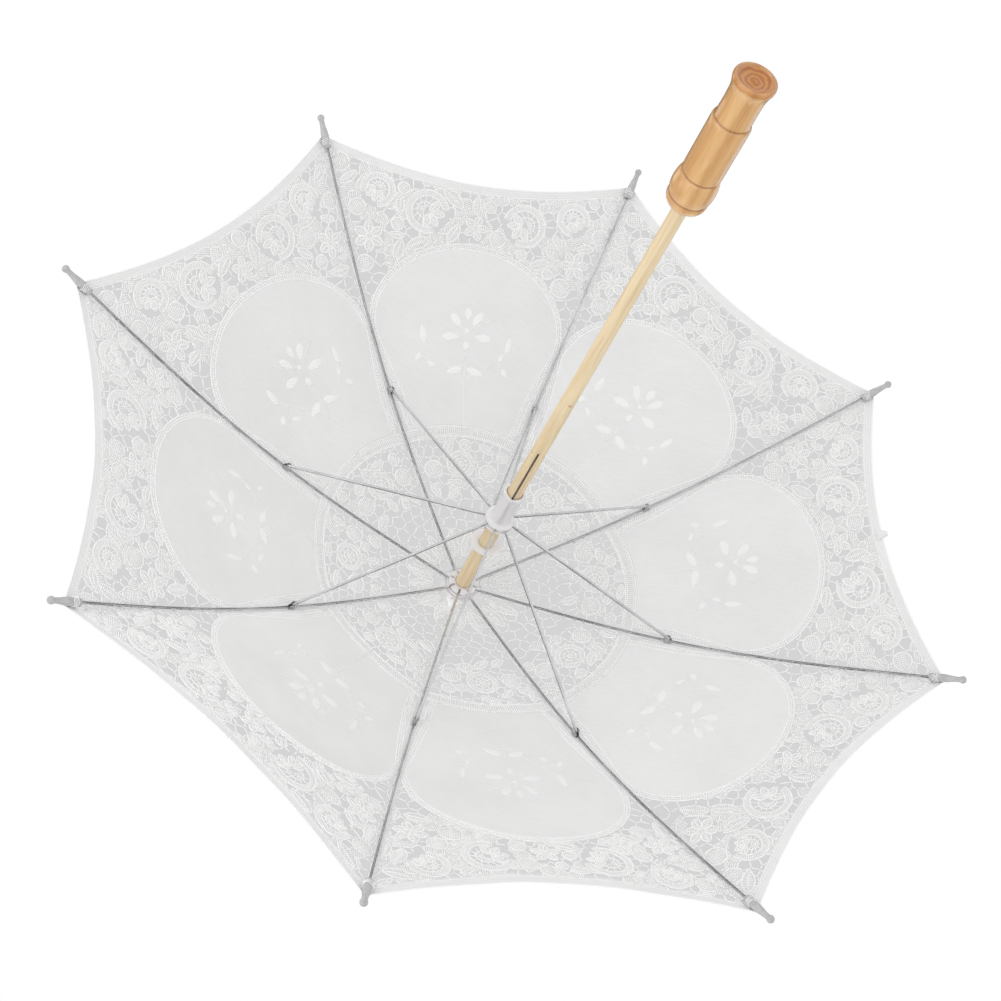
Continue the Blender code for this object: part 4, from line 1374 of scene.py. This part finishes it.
def stretcher_piece(k):
    """From the rivet in to the runner, open side up."""
    start, end = Vector((JOINT[0], 0, JOINT[2])), Vector((PIVOT_RADIUS, 0, RUNNER_Z))
    run = end - start
    reach = run.length / MM
    run.normalize()
    above = Vector((-run.z, 0, run.x))
    above = -above if above.z < 0 else above
    narrow = [(across * 1.11, -up * 1.06) for across, up in RIB_SECTION]
    eye = [(across, -up * 1.53) for across, up in RIB_SECTION]
    tongue = [(across, -up) for across, up in TONGUE_SECTION]
    stations = [(-1.2, eye), (4.0, eye), (8.0, narrow), (reach - 9.5, narrow)]
    stations += [(reach - 6.8, tongue), (reach + 1.0, tongue)]
    rings = []
    for d, section in stations:
        middle = start + run * d * MM
        rings.append([middle + above * up * MM + Vector((0, across * MM, 0)) for across, up in section])
    piece = loft(f"stretcher_steel_{k + 1}", rings, looks["steel"])
    piece.data.transform(Matrix.Rotation(k * STEP, 4, "Z"))
    return settle(piece, f"stretcher_arm_{k + 1}", "steel", f"stretcher_{k + 1}")


TIP_REACH = 15
seat = RIB_LENGTH - TIP_REACH
tip_slope = float(np.interp(seat, s_table, slope_table))
tip_radius, tip_height = (float(v) for v in over_rib(np.array(seat), np.array(0.0)))
tip_radius += TIP_REACH * MM * math.cos(tip_slope)
tip_height -= TIP_REACH * MM * math.sin(tip_slope)


def tip_place(k):
    return around(k * STEP, tip_radius, tip_height, tip_slope + math.pi / 2)


def tip_piece(k):
    ball = [(3.1 * math.sin(a), 3.1 * math.cos(a)) for a in np.linspace(0, math.radians(136), 14)]
    profile = ball + finer([(2.25, -3.3), (2.3, -5.5), (2.6, -9), (3.3, -14), (3.4, -20), (3.4, -26.9)], 3)
    profile += [(3.2, -27.4), (2.1, -27.5), (1.65, -27.2), (1.65, -14.9), (0, -14.9)]
    piece = turned(f"tip_cap_{k + 1}", profile, looks["grey"], 32)
    piece.data.transform(tip_place(k))
    return settle(piece, f"rib_arm_{k + 1}", "grey_plastic", f"rib_tip_{k + 1}")


def tie_piece(k):
    """Turns of thread that bind the cloth's corner to the tip cap."""
    turns, per = 4, 22
    coil, thread = 3.78, 0.32  # radii
    rings = []
    for i in range(turns * per + 1):
        a = 2 * math.pi * i / per
        along = -24.5 + 5.2 * i / (turns * per) + 0.5 * math.sin(3.1 * a)
        out = Vector((math.cos(a), math.sin(a), 0))
        here = Vector((coil * math.cos(a), coil * math.sin(a), along))
        round_it = np.linspace(0, 2 * math.pi, 6, endpoint=False)
        offsets = [out * thread * math.cos(b) + Vector((0, 0, thread * math.sin(b))) for b in round_it]
        rings.append([(here + offset) * MM for offset in offsets])
    piece = loft(f"tip_tie_{k + 1}", rings, looks["lace"], 60)
    piece.data.transform(tip_place(k))
    return settle(piece, f"rib_arm_{k + 1}", "cotton_lace")


for k in range(RIB_COUNT):
    rib_piece(k)
    stretcher_piece(k)
    tip_piece(k)
    tie_piece(k)
    for name in (f"rib_clip_{k + 1}", f"rivet_{k + 1}"):
        node = repaint(name, "steel")
        bevel = node.modifiers.new("edges", "BEVEL")
        bevel.width, bevel.segments, bevel.limit_method = 0.12 * MM, 2, "ANGLE"
        node["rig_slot"] = "steel"


# ---------------------------------------------------------------- plastic hubs, wires and catch
HUB_EDGE = 12.6
WAIST, WAIST_HALF = 9.3, 0.9  # the groove that holds the wire
SLOT_HALF = 0.95
BORE = 7.0
RUNNER_BORE = 7.1


def crown(top, low):
    """A hub's outline, down from its top."""
    upper = [(12.0, top), (12.4, top - 0.15), (HUB_EDGE, top - 0.6), (HUB_EDGE, WAIST_HALF)]
    lower = [(HUB_EDGE, -WAIST_HALF), (HUB_EDGE, 0.6 - low), (12.4, 0.15 - low), (12.0, -low)]
    return [*upper, (WAIST, WAIST_HALF), (WAIST, -WAIST_HALF), *lower]


def crown_slots(height, up):
    """Cutters for the ribs' or stretchers' slots; up is 1 or -1."""
    low, high = sorted((up * 1.7, -up * 8))
    ends = (8.35, -SLOT_HALF, low), (20, SLOT_HALF, high)
    return [block(*ends, around(k * STEP, 0, height)) for k in range(RIB_COUNT)]


profile = [(BORE, 3.5), *crown(3.5, 4.2), (BORE, -4.2)]
notch = turned("notch_plastic", profile, looks["white"], 96, True, up_to(NOTCH_Z))
cut_out(notch, crown_slots(NOTCH_Z, 1))
settle(notch, "stick", "white_plastic", "top_notch")

sleeve = finer([(9.7, -4.3), (8.8, -5.2), (8.5, -7.0)], 3) + [(8.5, -37.4)]
sleeve += finer([(8.55, -37.6), (9.1, -38.2), (9.2, -39.4), (9.2, -40.4), (8.8, -41.0)], 3)
profile = [(RUNNER_BORE, 4.2), *crown(4.2, 3.5), *sleeve, (RUNNER_BORE, -41.0)]
runner = turned("runner_plastic", profile, looks["white"], 96, True, up_to(RUNNER_Z))
keyway = block((4, -SLOT_HALF, -60), (8.3, SLOT_HALF, 20), around(math.radians(270), 0, RUNNER_Z))
cut_out(runner, crown_slots(RUNNER_Z, -1) + [keyway])
settle(runner, "slider", "white_plastic", "runner")

WIRE = 0.45
turn = np.linspace(0, 2 * math.pi, 11)[:-1]
ring = [(PIVOT_RADIUS / MM + WIRE * math.cos(a), WIRE * math.sin(a)) for a in turn]
for node, body, height in (("notch_wire", "stick", NOTCH_Z), ("runner_wire", "slider", RUNNER_Z)):
    settle(turned(f"{node}_ring", ring, looks["steel"], 72, True, up_to(height)), body, "steel", node)

low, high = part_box("shaft_washer")
half, middle = (high.z - low.z) / 2 / MM, (high.z + low.z) / 2
rim = [(13.0 + half * math.cos(a), half * math.sin(a)) for a in np.linspace(math.pi / 2, -math.pi / 2, 9)]
settle(turned("washer_plastic", [(6.8, half), *rim, (6.8, -half)], looks["white"], 96, True, up_to(middle)),
       "stick", "white_plastic", "shaft_washer")  # fmt: skip

cap = finer([(8.4, 7.3), (10.5, 7.15), (13, 6.4), (15.0, 5.3), (15.5, 4.75)], 4) + [(15.3, 4.45), (15.0, 4.4)]
settle(turned("cap_plastic", [(BORE, 7.3), *cap, (BORE, 4.4)], looks["white"], 96, True, up_to(NOTCH_Z)),
       "stick", "white_plastic", "top_cap")  # fmt: skip

# ---------------------------------------------------------------- wood
finial = [(8.6, 7.6), (9.8, 7.9), (10.4, 9.4), (10.0, 10.7), (9.0, 11.2), (8.3, 12.0), (8.0, 15), (7.4, 19.5),
          (6.4, 26), (5.2, 33), (4.35, 37.6), (4.3, 38.4), (4.9, 39.1), (5.3, 40.6), (5.2, 42.0), (4.5, 43.3),
          (2.8, 44.2), (0, 44.4)]  # fmt: skip
inner = [(0, 17.4), (BORE, 17.4), (BORE, 7.6)]
settle(turned("ferrule_plastic", inner + finer(finial, 4), looks["white"], 80, False, up_to(NOTCH_Z)),
       "stick", "white_plastic", "ferrule")  # fmt: skip

HANDLE_PROFILE = [
    (10.8, 0.0), (12.2, 0.4), (13.4, 1.6), (14.4, 3.4), (15.1, 5.8), (15.0, 7.6), (14.45, 8.6), (14.5, 9.0),
    (14.95, 9.9), (15.6, 12.0), (16.05, 15.0), (16.2, 18.0), (16.05, 21.0), (15.6, 24.6), (14.8, 27.8),
    (13.9, 29.5), (13.45, 30.3), (13.6, 30.9), (14.1, 31.8), (14.3, 33.4), (14.3, 48.0), (14.3, 63.0),
    (14.3, 78.0), (14.0, 80.0), (13.3, 80.8), (12.95, 81.6), (12.85, 84.0), (12.7, 92.0), (12.75, 99.0),
    (13.1, 105.5), (13.8, 109.4), (14.7, 112.2), (15.25, 114.4), (15.25, 116.0), (14.8, 117.4), (14.0, 118.0),
    (13.1, 118.0), (12.3, 117.2), (11.0, 116.2), (9.0, 115.4), (6.6, 114.9), (4.6, 115.0), (3.2, 115.5),
    (1.9, 115.3), (0.9, 114.3), (0.0, 113.6),
]  # fmt: skip
HANDLE_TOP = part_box("handle")[1].z
shaft_low = (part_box("shaft")[0].z - HANDLE_TOP) / MM
inner = [(0, shaft_low - 0.5), (5.9, shaft_low - 0.5), (5.9, 0)]
outer_profile = finer([(radius, -down) for radius, down in HANDLE_PROFILE], 4)
settle(turned("handle_wood_turned", inner + outer_profile, looks["handle"], 96, False, up_to(HANDLE_TOP)),
       "stick", "handle_wood", "handle")  # fmt: skip

for name, look in (("shaft", "shaft"), ("catch_spring", "spring"), ("catch_pin", "steel")):
    repaint(name, look)

bpy.context.view_layer.update()
